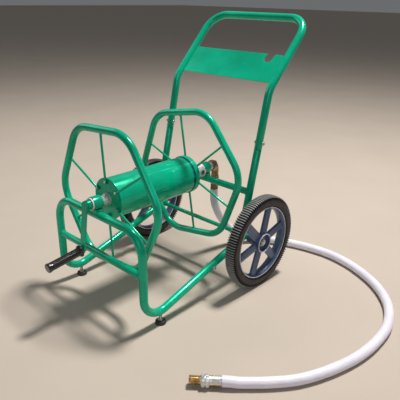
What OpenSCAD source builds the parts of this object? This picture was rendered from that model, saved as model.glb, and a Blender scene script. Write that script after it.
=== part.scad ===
// Garden hose reel cart: two bent tube frames joined at the rails, a drum reel in
// plain bushings, two wheels on one axle, two levelling feet and a free inlet hose.
// The drum lies along Y with its crank at -Y, and the wheels turn about X.

/* [Frame tubes] */
// Outer diameter of the frame tube
tube_d = 28; // [24:1:34]
// Wall of the frame tube
tube_wall = 2; // [1.5:0.5:3]
// Distance between the left and right tube centres
frame_w = 454; // [400:1:560]
// Distance from the axle forward to the front hoop
hoop_reach = 505; // [420:1:620]
// Corner radius at the top of the front hoop
hoop_r = 82; // [60:1:100]
// Radius of the bend from hoop leg to bottom rail
foot_bend_r = 70; // [50:1:90]
// Slope of the bottom rails, up towards the axle
rail_angle = 17; // [12:0.5:19]
// Distance from the axle forward to the rail joint
joint_reach = 167; // [120:1:220]
// Height of the cross brace on the front hoop
brace_z = 204; // [160:1:250]
// Diameter of the front cross brace
brace_d = 24; // [18:1:26]
// Diameter of the rear cross tube under the bearing
cross_d = 25; // [18:1:28]
// Length of each slip joint between two tubes
spigot_len = 48; // [30:1:70]

/* [Handle] */
// Lean of the lower uprights, back from the vertical
lower_lean = 12; // [5:0.5:18]
// Lean of the upper handle, back from the vertical
upper_lean = 43; // [30:1:55]
// Distance from the axle forward to the foot of the uprights
upright_reach = 26; // [20:1:60]
// Height of the joint between the uprights and the handle
split_z = 505; // [480:1:560]
// Height of the bend between lower and upper handle
bend_z = 708; // [640:1:800]
// Length of the upper handle from its bend to the top bar
upper_len = 309; // [270:1:360]
// Radius of the bend in the handle legs
lean_bend_r = 90; // [70:1:120]
// Corner radius at the top of the handle
handle_r = 76; // [50:1:90]
// Height of the flat handle plate along the slope
plate_h = 118; // [80:1:125]
// Distance of the plate from the handle bend along the slope
plate_up = 27; // [26:1:60]
// Thickness of the handle plate
plate_t = 3; // [2:0.5:5]
// Width of the nozzle hook slot in the plate
slot_w = 34; // [20:1:42]
// Depth of the nozzle hook slot in the plate
slot_depth = 36; // [24:1:50]
// Distance of the slot from the middle of the plate
slot_x = 152; // [80:1:165]

/* [Wheels] */
// Outer diameter of the tyres
wheel_d = 356; // [330:1:380]
// Width of the tyres
tyre_w = 44; // [36:1:56]
// Distance from a rail's middle to its wheel's middle
wheel_out = 71; // [68:1:120]
// Radius of the rim where the tyre sits
rim_r = 139; // [125:1:145]
// Diameter of the axle rod
axle_d = 16; // [12:0.5:20]
// Radius of the ring on the hub
hub_ring_r = 37; // [32:1:42]
// Distance of the hub ring beyond the outer face of the tyre
hub_proud = 2; // [0:0.5:8]
// Number of spokes in each wheel
wheel_spokes = 6; // [5:1:8]

/* [Reel] */
// Height of the reel axis above the ground
reel_z = 388; // [370:1:430]
// Outer diameter of the drum
drum_d = 136; // [110:1:150]
// Length of the drum over its end discs
drum_len = 368; // [300:1:380]
// Diameter of the drum end discs
disc_d = 141; // [138:1:158]
// Thickness of the drum end discs
disc_t = 4; // [3:0.5:6]
// Distance from the reel axis to the flat sides of the flange rings
flange_flat = 229; // [200:1:232]
// Corner radius of the flange rings
flange_r = 105; // [80:1:115]
// Diameter of the flange ring tube
ring_d = 25; // [20:1:27]
// Diameter of the spoke rods
spoke_d = 8; // [6:0.5:10]
// Turn of the front flange about the reel axis
front_turn = 4; // [0:0.5:30]
// Turn of the rear flange about the reel axis
rear_turn = 10; // [0:0.5:30]
// Outer diameter of the shaft pipe
shaft_d = 33.4; // [30:0.1:36]
// Bore of the shaft pipe
shaft_bore = 26.6; // [20:0.1:28]
// Wall of the bearing sleeves
sleeve_wall = 2.69; // [2:0.01:4]
// Length of the bearing sleeves
sleeve_len = 34; // [28:1:38]
// Distance from the front drum disc to the crank end of the shaft
shaft_front = 89; // [85:1:110]
// Distance from the rear bearing middle to the rear drum disc
shaft_rear = 98; // [92:1:120]

/* [Crank] */
// Distance between the crank shaft and the grip pin
crank_len = 150; // [110:1:170]
// Width of the crank bar
crank_w = 25; // [18:1:30]
// Thickness of the crank bar
crank_t = 6; // [4:0.5:8]
// Outward lean of the crank bar
crank_lean = 8; // [0:1:10]
// Droop of the grip below the horizontal
grip_droop = 8; // [0:1:10]
// Length of the crank grip
grip_len = 127; // [100:1:150]
// Diameter of the crank grip
grip_d = 29; // [24:1:34]
// Diameter of the grip collar next to the bar
grip_collar_d = 40; // [34:1:46]
// Diameter of the grip pin
pin_d = 10; // [8:0.5:12]

/* [Feet] */
// Diameter of the rubber foot pads
pad_d = 38; // [30:1:50]
// Height of the rubber foot pads
pad_h = 12; // [8:1:14]
// Diameter of the foot studs
stud_d = 10; // [8:0.5:12]

/* [Inlet] */
// Bore of the hose outlet on the reel tee
outlet_bore = 20; // [16:0.5:26]
// Distance of the outlet mouth from the reel axis
outlet_reach = 34; // [32:1:60]
// Distance from the rear bearing back to the inlet drop
inlet_back = 64; // [58:1:76]
// Outer diameter of the hose
hose_d = 33; // [30:0.5:36]

/* [Hidden] */
$fn = 48;
tiny = 0.05;        // contact gap between welded or seated pieces
hair = 0.3;         // step in diameter where a straight tube meets its bend
lap = 2;            // how far a straight tube runs into its bend
run_gap = 0.06;     // radial clearance of a running fit
side_gap = 0.4;     // side clearance of a turning piece
deg60 = 60;
green = [0.0, 0.55, 0.4];
zinc = [0.75, 0.77, 0.78];
brass = [0.72, 0.56, 0.3];
black = [0.08, 0.08, 0.08];
white = [0.93, 0.93, 0.92];
slate = [0.32, 0.37, 0.47];
clear_white = [0.87, 0.86, 0.93];

// Heights and half widths
bush_wall = 3.5;
sleeve_bore = shaft_d + 2 * run_gap + 2 * bush_wall + 2 * tiny;
sleeve_d = sleeve_bore + 2 * sleeve_wall;
axle_z = wheel_d / 2;
half_w = frame_w / 2;
half_track = half_w + wheel_out;
saddle_t = 3;
hoop_z = reel_z - sleeve_d / 2 - saddle_t - tube_d / 2;
cross_z = reel_z - sleeve_d / 2 - saddle_t - cross_d / 2;

// Stations along Y, counted from the axle
upright_y0 = -upright_reach;
rail_tan = tan(rail_angle);
lower_tan = tan(lower_lean);
foot_z0 = axle_z - upright_reach * rail_tan;
function upright_y(z) = upright_y0 + (z - foot_z0) * lower_tan;
bend_y = upright_y(bend_z);
top_y = bend_y + upper_len * sin(upper_lean);
top_z = bend_z + upper_len * cos(upper_lean);
rear_bearing_y = upright_y(cross_z);
rear_disc_y = rear_bearing_y - shaft_rear;
front_disc_y = rear_disc_y - drum_len;
crank_y = front_disc_y - shaft_front;
front_bearing_y = -hoop_reach;
grip_gap = 8;
grip_end_y = crank_y - crank_t / 2 * cos(crank_lean) - crank_len * sin(crank_lean)
    - (grip_gap + grip_len) * cos(grip_droop) - (grip_d / 2 + 1) * sin(grip_droop);

// The origin is under the middle of the cart, so the axle stands behind it
axle_y = -(grip_end_y + top_y + tube_d / 2) / 2;
function rail_z(y) = axle_z + (y - axle_y) * rail_tan;
hoop_y = axle_y - hoop_reach;
joint_y = axle_y - joint_reach;
rail_back = 20;

bore_d = tube_d - 2 * tube_wall;
spigot_d = bore_d - 2 * tiny;
socket_spare = 4;
bolt_d = 8;
bolt_head_d = 14;

flange_front_y = axle_y + front_disc_y - spoke_d / 2 - tiny;
flange_rear_y = axle_y + rear_disc_y + spoke_d / 2 + tiny;
spoke_in_r = disc_d / 2 - 20;

drum_wall = 3;
bush_flange_t = 5;
bush_flange_d = 42;

hub_in_x = half_w + 25;
hub_face_x = half_track + tyre_w / 2 + hub_proud;
hub_bore_end_x = hub_face_x - 18;
axle_end_x = hub_face_x - 4;
washer_t = 2.5;
boss_d = 22;

foot_y = hoop_y + foot_bend_r;
foot_tube_z = rail_z(hoop_y) + foot_bend_r * tan((90 + rail_angle) / 2) - foot_bend_r;
nut_h = 8;

tee_run = 42;
tee_socket = 10;
tee_y = axle_y + rear_bearing_y - sleeve_len / 2 - bush_flange_t - 1 - tee_run / 2;
inlet_y = axle_y + rear_bearing_y + inlet_back;
elbow_d = 34;
elbow_drop = 52;
ferrule_len = 50;
ferrule_d = 30;
ferrule_hex = 16;
hose_gap = 0.6;
hose_top_z = reel_z - elbow_drop - ferrule_len;

// Route of the free hose after its inlet ferrule, with Y counted from the axle
hose_points = [
    [1, 91, 198], [3, 112, 158], [8, 144, 112], [20, 189, 66], [48, 239, 33], [95, 287, 18],
    [155, 326, 17], [222, 354, 17], [302, 374, 17], [400, 381, 17], [516, 354, 17], [638, 288, 17],
    [732, 191, 17], [784, 76, 17], [798, -31, 17], [792, -141, 17], [765, -251, 17], [724, -348, 17],
    [672, -419, 17], [612, -481, 17], [588, -503, 20], [570, -518.6, 20]
];
hose_route = concat(
    [[0, inlet_y, hose_top_z], [0, inlet_y, hose_top_z - 24], [0, inlet_y + 3, hose_top_z - 54]],
    [for (q = hose_points) [q[0], q[1] + axle_y, q[2]]]
);
hose_steps = 3;
hose_sides = 10;

// Ends of the pieces on the hose's free end, counted from the hose
end_ferrule = 34;
end_collar = 58;
end_nipple = 92;

// ---- shapes that several pieces share

function unit(v) = v / norm(v);

// A round bar from point a to point b
module bar(a, b, d) {
    v = b - a;
    translate(a)
        rotate([0, acos(v[2] / norm(v)), atan2(v[1], v[0])])
            cylinder(h = norm(v), d = d);
}

// The arc that rounds corner p between the directions of a and b
module bend(a, p, b, r, d) {
    u = unit(p - a);
    v = unit(b - p);
    turn = acos(u * v);
    n = unit(v - u * cos(turn));
    c = p - u * r * tan(turn / 2) + n * r;
    w = cross(-n, u);
    multmatrix([
        [-n[0], u[0], w[0], c[0]],
        [-n[1], u[1], w[1], c[1]],
        [-n[2], u[2], w[2], c[2]],
        [0, 0, 0, 1]
    ])
        rotate_extrude(angle = turn)
            translate([r, 0])
                circle(d = d);
}

// Length that a bend takes from each side of its corner
function bite(a, p, b, r) = r * tan(acos(unit(p - a) * unit(b - p)) / 2);

// A bent tube along points, with radii[i] at points[i + 1]
// The straights are a hair thinner and lap into the bends, so that no two faces coincide
module bent_tube(points, radii, d) {
    last = len(points) - 1;
    function cut(i) = (i == 0 || i == last) ? 0
        : bite(points[i - 1], points[i], points[i + 1], radii[i - 1]) - lap;
    for (i = [0 : last - 1]) {
        u = unit(points[i + 1] - points[i]);
        bar(points[i] + u * cut(i), points[i + 1] - u * cut(i + 1), d - hair);
    }
    for (i = [1 : last - 1])
        bend(points[i - 1], points[i], points[i + 1], radii[i - 1], d);
}

// A cylinder along Y from y0 to y1 on the reel axis
module on_axis(y0, y1, d) {
    translate([0, y0, reel_z])
        rotate([-90, 0, 0])
            cylinder(h = y1 - y0, d = d);
}

// A cylinder along X from x0 to x1 on the axle line
module on_axle(x0, x1, d) {
    translate([x0, axle_y, axle_z])
        rotate([0, 90, 0])
            cylinder(h = x1 - x0, d = d);
}

module both_sides() {
    children();
    mirror([1, 0, 0]) children();
}

// ---- frame

function side_point(s, y, z) = [s * half_w, y, z];

module front_frame() {
    color(green)
        difference() {
            bent_tube([
                side_point(1, joint_y, rail_z(joint_y)),
                side_point(1, hoop_y, rail_z(hoop_y)),
                side_point(1, hoop_y, hoop_z),
                side_point(-1, hoop_y, hoop_z),
                side_point(-1, hoop_y, rail_z(hoop_y)),
                side_point(-1, joint_y, rail_z(joint_y))
            ], [foot_bend_r, hoop_r, hoop_r, foot_bend_r], tube_d);
            for (s = [-1, 1]) {
                bar(rail_point(s, spigot_len + socket_spare), rail_point(s, -2), bore_d);
                rail_bolt_hole(s);
                translate([s * half_w, foot_y, 0])
                    cylinder(h = foot_tube_z, d = stud_d + 2 * tiny);
            }
        }
}

// Point on a rail centre line, back metres along the slope from the joint
function rail_point(s, forward) = [
    s * half_w,
    joint_y - forward * cos(rail_angle),
    rail_z(joint_y) - forward * sin(rail_angle)
];

module rail_bolt_hole(s) {
    p = rail_point(s, spigot_len / 2);
    bar([s * (half_w - tube_d), p[1], p[2]], [s * (half_w + tube_d), p[1], p[2]], bolt_d + 2 * tiny);
}

module front_brace() {
    color(green)
        difference() {
            bar([-half_w, hoop_y, brace_z], [half_w, hoop_y, brace_z], brace_d);
            for (s = [-1, 1])
                bar(side_point(s, hoop_y, brace_z - 60), side_point(s, hoop_y, brace_z + 60), tube_d + 2 * tiny);
        }
}

// Rear rail: a slip spigot in front, the axle boss bore near its rear end
module rear_rail(s) {
    color(green)
        difference() {
            union() {
                bar(rail_point(s, -tiny), rail_point(s, -(joint_reach + rail_back) / cos(rail_angle)), tube_d);
                bar(rail_point(s, spigot_len), rail_point(s, -1), spigot_d);
            }
            rail_bolt_hole(s);
            on_axle(s * half_w - tube_d, s * half_w + tube_d, boss_d + 2 * tiny);
        }
}

function upright_point(s, z) = [s * half_w, axle_y + upright_y(z), z];

function split_point(s, up) = [
    s * half_w,
    axle_y + upright_y(split_z) + up * sin(lower_lean),
    split_z + up * cos(lower_lean)
];

module split_bolt_hole(s) {
    p = split_point(s, spigot_len / 2);
    bar([s * (half_w - tube_d), p[1], p[2]], [s * (half_w + tube_d), p[1], p[2]], bolt_d + 2 * tiny);
}

// Lower upright: coped to the rear rail, with a slip spigot on top
module upright(s) {
    color(green)
        difference() {
            union() {
                bar(upright_point(s, foot_z0), split_point(s, -tiny), tube_d);
                bar(split_point(s, -1), split_point(s, spigot_len), spigot_d);
            }
            split_bolt_hole(s);
            bar(rail_point(s, 0), rail_point(s, -(joint_reach + 2 * rail_back) / cos(rail_angle)),
                tube_d + 2 * tiny);
            on_axle(s * half_w - tube_d, s * half_w + tube_d, boss_d + 2 * tiny);
        }
}

module bearing_cross_tube() {
    color(green)
        difference() {
            bar(upright_point(-1, cross_z), upright_point(1, cross_z), cross_d);
            for (s = [-1, 1])
                bar(upright_point(s, cross_z - 80), upright_point(s, cross_z + 80), tube_d + 2 * tiny);
        }
}

function handle_top(s) = [s * half_w, axle_y + top_y, top_z];
function handle_bend(s) = [s * half_w, axle_y + bend_y, bend_z];

module handle_loop() {
    color(green)
        difference() {
            bent_tube([split_point(1, 0), handle_bend(1), handle_top(1), handle_top(-1),
                handle_bend(-1), split_point(-1, 0)],
                [lean_bend_r, handle_r, handle_r, lean_bend_r], tube_d);
            for (s = [-1, 1]) {
                bar(split_point(s, -2), split_point(s, spigot_len + socket_spare), bore_d);
                split_bolt_hole(s);
            }
        }
}

// Places its children on the sloping plane of the upper handle
module on_slope() {
    translate([0, axle_y + bend_y, bend_z])
        rotate([90 - upper_lean, 0, 0])
            children();
}

// Flat plate between the handle legs, with a hook slot open at its top edge
module handle_plate() {
    leg_in = half_w - tube_d / 2 + 1;
    slot_lean = 12;
    notch = 8;
    color(green)
        difference() {
            on_slope()
                translate([0, 0, -plate_t / 2])
                    linear_extrude(plate_t)
                        difference() {
                            translate([-leg_in, plate_up])
                                square([2 * leg_in, plate_h]);
                            translate([slot_x, plate_up + plate_h - slot_depth + slot_w / 2])
                                rotate(-slot_lean)
                                    union() {
                                        circle(d = slot_w);
                                        translate([-slot_w / 2, 0])
                                            square([slot_w, slot_depth + slot_w]);
                                    }
                            translate([leg_in - 1, plate_up + plate_h])
                                circle(r = notch);
                        }
            for (s = [-1, 1])
                bar(handle_bend(s), handle_top(s), tube_d + 2 * tiny);
        }
}

// Cross bolt through a tube at p: button head inside, nut outside
module cross_bolt(s, p) {
    half = tube_d / 2 + tiny;
    head_h = 5;
    nut_t = 6;
    thread_end = 2;
    translate([p[0] - s * (half + head_h), p[1], p[2]])
        rotate([0, s * 90, 0])
            union() {
                cylinder(h = head_h, d = bolt_head_d);
                translate([0, 0, 1])
                    cylinder(h = head_h - 1 + 2 * half + nut_t + thread_end, d = bolt_d);
                translate([0, 0, head_h + 2 * half])
                    cylinder(h = nut_t, d = bolt_head_d + 1, $fn = 6);
            }
}

module handle_bolts() {
    color(zinc)
        for (s = [-1, 1])
            cross_bolt(s, split_point(s, spigot_len / 2));
}

module rail_bolts() {
    color(zinc)
        for (s = [-1, 1])
            cross_bolt(s, rail_point(s, spigot_len / 2));
}

// ---- axle and wheels

module axle() {
    color(green)
        on_axle(-axle_end_x, axle_end_x, axle_d);
}

module axle_bosses() {
    color(green)
        both_sides()
            difference() {
                on_axle(half_w - tube_d / 2 - 4, half_w + tube_d / 2 + 4, boss_d);
                on_axle(half_w - tube_d, half_w + tube_d, axle_d + 2 * tiny);
            }
}

module washer(x) {
    difference() {
        on_axle(x, x + washer_t, axle_d + 14);
        on_axle(x - 1, x + washer_t + 1, axle_d + 2 * tiny);
    }
}

module axle_washers() {
    color(zinc)
        both_sides() {
            washer(hub_in_x - side_gap - washer_t);
            washer(hub_bore_end_x + side_gap);
        }
}

module axle_nuts() {
    nut_x = hub_bore_end_x + side_gap + washer_t + tiny;
    color(zinc)
        both_sides()
            difference() {
                translate([nut_x, axle_y, axle_z])
                    rotate([0, 90, 0])
                        cylinder(h = nut_h, d = axle_d + 12, $fn = 6);
                on_axle(nut_x - 1, axle_end_x + 1, axle_d + 2 * tiny);
            }
}

// Half profile of the rim channel: radius along x, axle direction along y
module rim_channel() {
    w = tyre_w / 2 - 4;
    rotate_extrude()
        polygon([[rim_r - 16, -w + 4], [rim_r - 6, -w], [rim_r - 1, -w], [rim_r - 1, w],
            [rim_r - 6, w], [rim_r - 16, w - 4]]);
}

// Moulded wheel: rim channel, spokes, hub with a raised ring round the axle nut
module rim_body() {
    hub_len = hub_face_x - hub_in_x;
    mid = half_track - hub_in_x;
    cup = hub_face_x - hub_bore_end_x;
    cup_wall = 5;
    ring_len = 22;
    spoke_w = 26;
    spoke_t = 16;
    spoke_root = 12;
    wheel_turn = 44;
    difference() {
        union() {
            translate([0, 0, mid]) rim_channel();
            cylinder(h = hub_len - 1, r = hub_ring_r - cup_wall - 2);
            translate([0, 0, hub_len - ring_len]) cylinder(h = ring_len, r = hub_ring_r);
            for (k = [0 : wheel_spokes - 1])
                rotate(k * 360 / wheel_spokes + wheel_turn)
                    translate([hub_ring_r - spoke_root, -spoke_w / 2, mid - 4])
                        cube([rim_r - hub_ring_r, spoke_w, spoke_t]);
        }
        translate([0, 0, -1]) cylinder(h = hub_len + 2, d = axle_d + 2 * run_gap);
        translate([0, 0, hub_len - cup]) cylinder(h = cup + 1, r = hub_ring_r - cup_wall);
    }
}

module wheel_rim() {
    color(slate)
        translate([hub_in_x, axle_y, axle_z])
            rotate([0, 90, 0])
                rim_body();
}

module tyre() {
    r = wheel_d / 2;
    w = tyre_w / 2;
    color(black)
        translate([half_track, axle_y, axle_z])
            rotate([0, 90, 0])
                rotate_extrude()
                    polygon([[rim_r - 1 + tiny, -w + 5], [rim_r + 4, -w + 1], [rim_r + 14, -w], [r - 9, -w + 2],
                        [r - 2, -w + 7], [r, -w + 14], [r, w - 14], [r - 2, w - 7], [r - 9, w - 2],
                        [rim_r + 14, w], [rim_r + 4, w - 1], [rim_r - 1 + tiny, w - 5]]);
}

module mirrored() {
    mirror([1, 0, 0]) children();
}

// ---- feet

module foot_pads() {
    color(black)
        both_sides()
            translate([half_w, foot_y, 0])
                difference() {
                    cylinder(h = pad_h, d1 = pad_d, d2 = pad_d - 6);
                    translate([0, 0, 4]) cylinder(h = pad_h, d = stud_d + 2 * tiny);
                }
}

module foot_studs() {
    color(zinc)
        both_sides()
            translate([half_w, foot_y, 4 + tiny])
                cylinder(h = foot_tube_z - 5, d = stud_d);
}

module foot_nuts() {
    color(zinc)
        both_sides()
            translate([half_w, foot_y, pad_h + tiny])
                difference() {
                    cylinder(h = 6, d = stud_d * 1.9, $fn = 6);
                    translate([0, 0, -1]) cylinder(h = 8, d = stud_d + 2 * tiny);
                }
}

// ---- bearings

module bearing_sleeve(y) {
    color(green)
        difference() {
            on_axis(y - sleeve_len / 2, y + sleeve_len / 2, sleeve_d);
            on_axis(y - sleeve_len, y + sleeve_len, sleeve_bore);
        }
}

// Cradle between a bearing sleeve above and the tube below it
module saddle(y, tube_z, d) {
    base_w = 42;
    grip = 5;
    color(green)
        difference() {
            translate([-base_w / 2, y - sleeve_len / 2 + 3, tube_z + d / 2 - grip])
                cube([base_w, sleeve_len - 6, 2 * grip + saddle_t]);
            on_axis(y - sleeve_len, y + sleeve_len, sleeve_d + 2 * tiny);
            bar([-base_w, y, tube_z], [base_w, y, tube_z], d + 2 * tiny);
        }
}

// Flanged bushing: a liner in the sleeve and a flange on side dir
module bushing(y, dir) {
    face = y + dir * (sleeve_len / 2 + tiny);
    back = y - dir * sleeve_len / 2;
    edge = face + dir * bush_flange_t;
    color(white)
        difference() {
            union() {
                on_axis(min(back, edge), max(back, edge), sleeve_bore - 2 * tiny);
                on_axis(min(face, edge), max(face, edge), bush_flange_d);
            }
            on_axis(y - sleeve_len, y + sleeve_len, shaft_d + 2 * run_gap);
        }
}

// ---- reel

front_disc_pos = axle_y + front_disc_y;
rear_disc_pos = axle_y + rear_disc_y;
skirt_w = 16;

module drum_shell() {
    color(green)
        difference() {
            on_axis(front_disc_pos + disc_t + tiny, rear_disc_pos - disc_t - tiny, drum_d);
            on_axis(front_disc_pos, rear_disc_pos, drum_d - 2 * drum_wall);
        }
}

// End disc with a skirt of width w round the drum, dir points into the drum
module drum_disc(face, dir, w) {
    y_in = face + dir * disc_t;
    skirt_end = face + dir * (disc_t + w);
    color(green)
        difference() {
            on_axis(min(face, skirt_end), max(face, skirt_end), disc_d);
            on_axis(min(y_in, skirt_end + dir), max(y_in, skirt_end + dir), drum_d + 2 * tiny);
            on_axis(face - 2 * disc_t, face + 2 * disc_t, shaft_d + 2 * tiny);
        }
}

module drum_bolt(face, dir, turn, k) {
    rotate_about_reel(turn + 30 + k * deg60)
        translate([spoke_in_r + 7, face + dir * (spoke_d + 2 * tiny), reel_z])
            rotate([-dir * 90, 0, 0])
                cylinder(h = 3, d = 9);
}

// Turns its children about the reel axis, anticlockwise seen from the crank
module rotate_about_reel(a) {
    translate([0, 0, reel_z])
        rotate([0, -a, 0])
            translate([0, 0, -reel_z])
                children();
}

module drum_bolts() {
    color(zinc)
        for (k = [0 : 5]) {
            drum_bolt(front_disc_pos, -1, front_turn, k);
            drum_bolt(rear_disc_pos, 1, rear_turn, k);
        }
}

// Six-sided ring of bent tube with round corners, in the plane at y
module flange_ring(y, turn) {
    side_half = (flange_flat - flange_r) * tan(30);
    corner = (flange_flat - flange_r) / cos(30);
    color(green)
        rotate_about_reel(turn)
            translate([0, y, reel_z])
                rotate([90, 0, 0])
                    for (k = [0 : 5]) {
                        rotate(k * deg60 + 30)
                            translate([flange_flat, side_half + lap, 0])
                                rotate([90, 0, 0])
                                    cylinder(h = 2 * (side_half + lap), d = ring_d - hair);
                        rotate(k * deg60 - 30)
                            translate([corner * cos(30), corner * sin(30), 0])
                                rotate_extrude(angle = deg60)
                                    translate([flange_r, 0])
                                        circle(d = ring_d);
                    }
}

// Six straight rods from the drum disc to the middles of the ring's sides
module spokes(y, turn) {
    color(green)
        for (k = [0 : 5])
            rotate_about_reel(turn + 30 + k * deg60)
                difference() {
                    bar([spoke_in_r, y, reel_z], [flange_flat, y, reel_z], spoke_d);
                    bar([flange_flat, y, reel_z - 60], [flange_flat, y, reel_z + 60], ring_d + 2 * tiny);
                }
}

hub_seat_len = 18;
seat_gap = 3;
hub_seat_d = 24;
shaft_front_end = axle_y + crank_y;

// Front shaft: pipe from inside the drum disc through the bushing to the crank hub
module front_shaft() {
    color(zinc)
        union() {
            on_axis(shaft_front_end + hub_seat_len, front_disc_pos + disc_t + 6, shaft_d);
            on_axis(shaft_front_end + seat_gap, shaft_front_end + hub_seat_len + 1, hub_seat_d);
        }
}

// Ribbed coupling that locks the front shaft against the drum disc
module shaft_coupling() {
    rib = 4;
    color(zinc)
        difference() {
            union() {
                on_axis(front_disc_pos - 3 * rib, front_disc_pos - tiny, shaft_d + 4);
                on_axis(front_disc_pos - rib, front_disc_pos - tiny, shaft_d + 8);
                on_axis(front_disc_pos - 3 * rib, front_disc_pos - 2 * rib, shaft_d + 7);
            }
            on_axis(front_disc_pos - 5 * rib, front_disc_pos + rib, shaft_d + 2 * tiny);
        }
}

// Places its children on the back face of the leaning crank bar, z pointing outwards
module on_crank() {
    translate([0, shaft_front_end, reel_z])
        rotate([90 - crank_lean, 0, 0])
            children();
}

// Places its children on the grip pin, z pointing outwards from the middle of the bar
module on_pin() {
    on_crank()
        translate([0, -crank_len, crank_t / 2])
            rotate([crank_lean + grip_droop, 0, 0])
                children();
}

// Boss on the end of the shaft, cut to the lean of the bar
module crank_hub() {
    color(green)
        difference() {
            on_axis(shaft_front_end - seat_gap, shaft_front_end + hub_seat_len - tiny, shaft_d);
            on_axis(shaft_front_end + seat_gap - tiny, shaft_front_end + hub_seat_len + 1, hub_seat_d + 2 * tiny);
            on_crank()
                translate([-shaft_d, -shaft_d, -tiny])
                    cube(2 * shaft_d);
        }
}

// Flat crank bar hanging from the shaft, with round ends and a hole for the grip pin
module crank_arm() {
    color(green)
        difference() {
            on_crank()
                linear_extrude(crank_t)
                    union() {
                        circle(d = crank_w + 6);
                        translate([0, -crank_len]) circle(d = crank_w);
                        translate([-crank_w / 2, -crank_len]) square([crank_w, crank_len]);
                    }
            on_pin()
                translate([0, 0, -crank_w])
                    cylinder(h = 2 * crank_w, d = pin_d + 2 * tiny);
        }
}

pin_back = 12;
pin_tip = grip_gap + grip_len - 10;

// Grip pin with its nut behind the bar and a washer in front of it
module grip_pin() {
    nut_face = crank_t;
    color(zinc)
        on_pin()
            union() {
                translate([0, 0, -pin_back]) cylinder(h = pin_back + pin_tip, d = pin_d);
                translate([0, 0, -pin_back]) cylinder(h = pin_back - nut_face, d = pin_d * 1.8, $fn = 6);
                translate([0, 0, nut_face]) cylinder(h = 1.5, d = pin_d * 2);
            }
}

module crank_grip() {
    collar_t = 7;
    cap_t = 8;
    color(black)
        on_pin()
            translate([0, 0, grip_gap])
                difference() {
                    union() {
                        cylinder(h = collar_t, d = grip_collar_d);
                        cylinder(h = grip_len, d = grip_d);
                        translate([0, 0, grip_len - cap_t]) cylinder(h = cap_t, d = grip_d + 2);
                    }
                    translate([0, 0, -1]) cylinder(h = grip_len - cap_t, d = pin_d + 2 * run_gap);
                }
}

// Rear shaft: solid stub that carries the drum disc in the tee's front socket
module rear_shaft() {
    color(zinc)
        on_axis(rear_disc_pos - disc_t - 6, tee_y - tee_run / 2 + tee_socket, shaft_d);
}

// Pipe nipple that brings the water through the rear bushing into the tee
module inlet_nipple() {
    nipple_end = inlet_y - elbow_d / 2 + 8;
    color(zinc)
        difference() {
            on_axis(tee_y + tee_run / 2 - tee_socket, nipple_end, shaft_d);
            on_axis(tee_y, nipple_end + 1, shaft_bore);
        }
}

// Outlet tee: sockets on the shaft and a round mouth to one side for the reel's hose
module outlet_tee() {
    band = 8;
    color(white)
        difference() {
            union() {
                on_axis(tee_y - tee_run / 2, tee_y + tee_run / 2, shaft_d + 7);
                on_axis(tee_y - tee_run / 2, tee_y - tee_run / 2 + band, shaft_d + 10);
                on_axis(tee_y + tee_run / 2 - band, tee_y + tee_run / 2, shaft_d + 10);
                translate([0, tee_y, reel_z]) rotate([0, 90, 0]) cylinder(h = outlet_reach, d = outlet_bore + 10);
                translate([outlet_reach - band, tee_y, reel_z])
                    rotate([0, 90, 0]) cylinder(h = band, d = outlet_bore + 14);
            }
            on_axis(tee_y - tee_run, tee_y - tee_run / 2 + tee_socket + tiny, shaft_d + 2 * tiny);
            on_axis(tee_y + tee_run / 2 - tee_socket - tiny, tee_y + tee_run, shaft_d + 2 * tiny);
            on_axis(tee_y, tee_y + tee_run, outlet_bore);
            translate([0, tee_y, reel_z]) rotate([0, 90, 0]) cylinder(h = outlet_reach + 1, d = outlet_bore);
        }
}

// ---- inlet and free hose

// Brass swivel elbow: a hex socket that the nipple turns in, and a round drop pipe
module swivel_elbow() {
    socket_y0 = inlet_y - elbow_d / 2 - 10;
    drop = reel_z - elbow_drop;
    color(brass)
        difference() {
            union() {
                translate([0, socket_y0, reel_z])
                    rotate([-90, 0, 0]) cylinder(h = 22, d = 46, $fn = 6);
                on_axis(socket_y0 + 20, inlet_y, elbow_d);
                translate([0, inlet_y, reel_z]) sphere(d = elbow_d);
                translate([0, inlet_y, drop]) cylinder(h = elbow_drop, d = elbow_d - 4);
            }
            on_axis(socket_y0 - 1, socket_y0 + 19, shaft_d + 2 * run_gap);
            on_axis(socket_y0, inlet_y, 20);
            translate([0, inlet_y, drop - 1]) cylinder(h = elbow_drop + 1, d = 20);
        }
}

module swivel_seal() {
    y = inlet_y - elbow_d / 2 + 8 + side_gap;
    color(black)
        difference() {
            on_axis(y, inlet_y - elbow_d / 2 + 9 - tiny, shaft_d - 1);
            on_axis(y - 1, inlet_y, shaft_bore - 4);
        }
}

module inlet_ferrule() {
    color(brass)
        translate([0, inlet_y, hose_top_z])
            union() {
                translate([0, 0, hose_gap])
                    cylinder(h = ferrule_len - ferrule_hex - hose_gap, d = ferrule_d);
                translate([0, 0, ferrule_len - ferrule_hex - tiny])
                    cylinder(h = ferrule_hex, d = ferrule_d + 6, $fn = 6);
                for (k = [0 : 2])
                    translate([0, 0, 3 + k * 9]) cylinder(h = 4, d = ferrule_d + 2);
            }
}

// Smooth curve through the route: Catmull-Rom between points i and i + 1
function spline(p, i, t) =
    let (a = p[max(i - 1, 0)], b = p[i], c = p[i + 1], d = p[min(i + 2, len(p) - 1)])
    0.5 * (2 * b + (c - a) * t + (2 * a - 5 * b + 4 * c - d) * t * t
        + (3 * b - a - 3 * c + d) * t * t * t);

hose_line = [
    for (i = [0 : len(hose_route) - 2])
        for (j = [0 : hose_steps - 1])
            spline(hose_route, i, j / hose_steps),
    hose_route[len(hose_route) - 1]
];

function tangent(p, i) = unit(p[min(i + 1, len(p) - 1)] - p[max(i - 1, 0)]);

// Sideways directions carried along the line without twist
function carried(p, i, n) =
    let (t = tangent(p, i), m = unit(n - t * (n * t)))
    i == len(p) - 1 ? [m] : concat([m], carried(p, i + 1, m));

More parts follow.
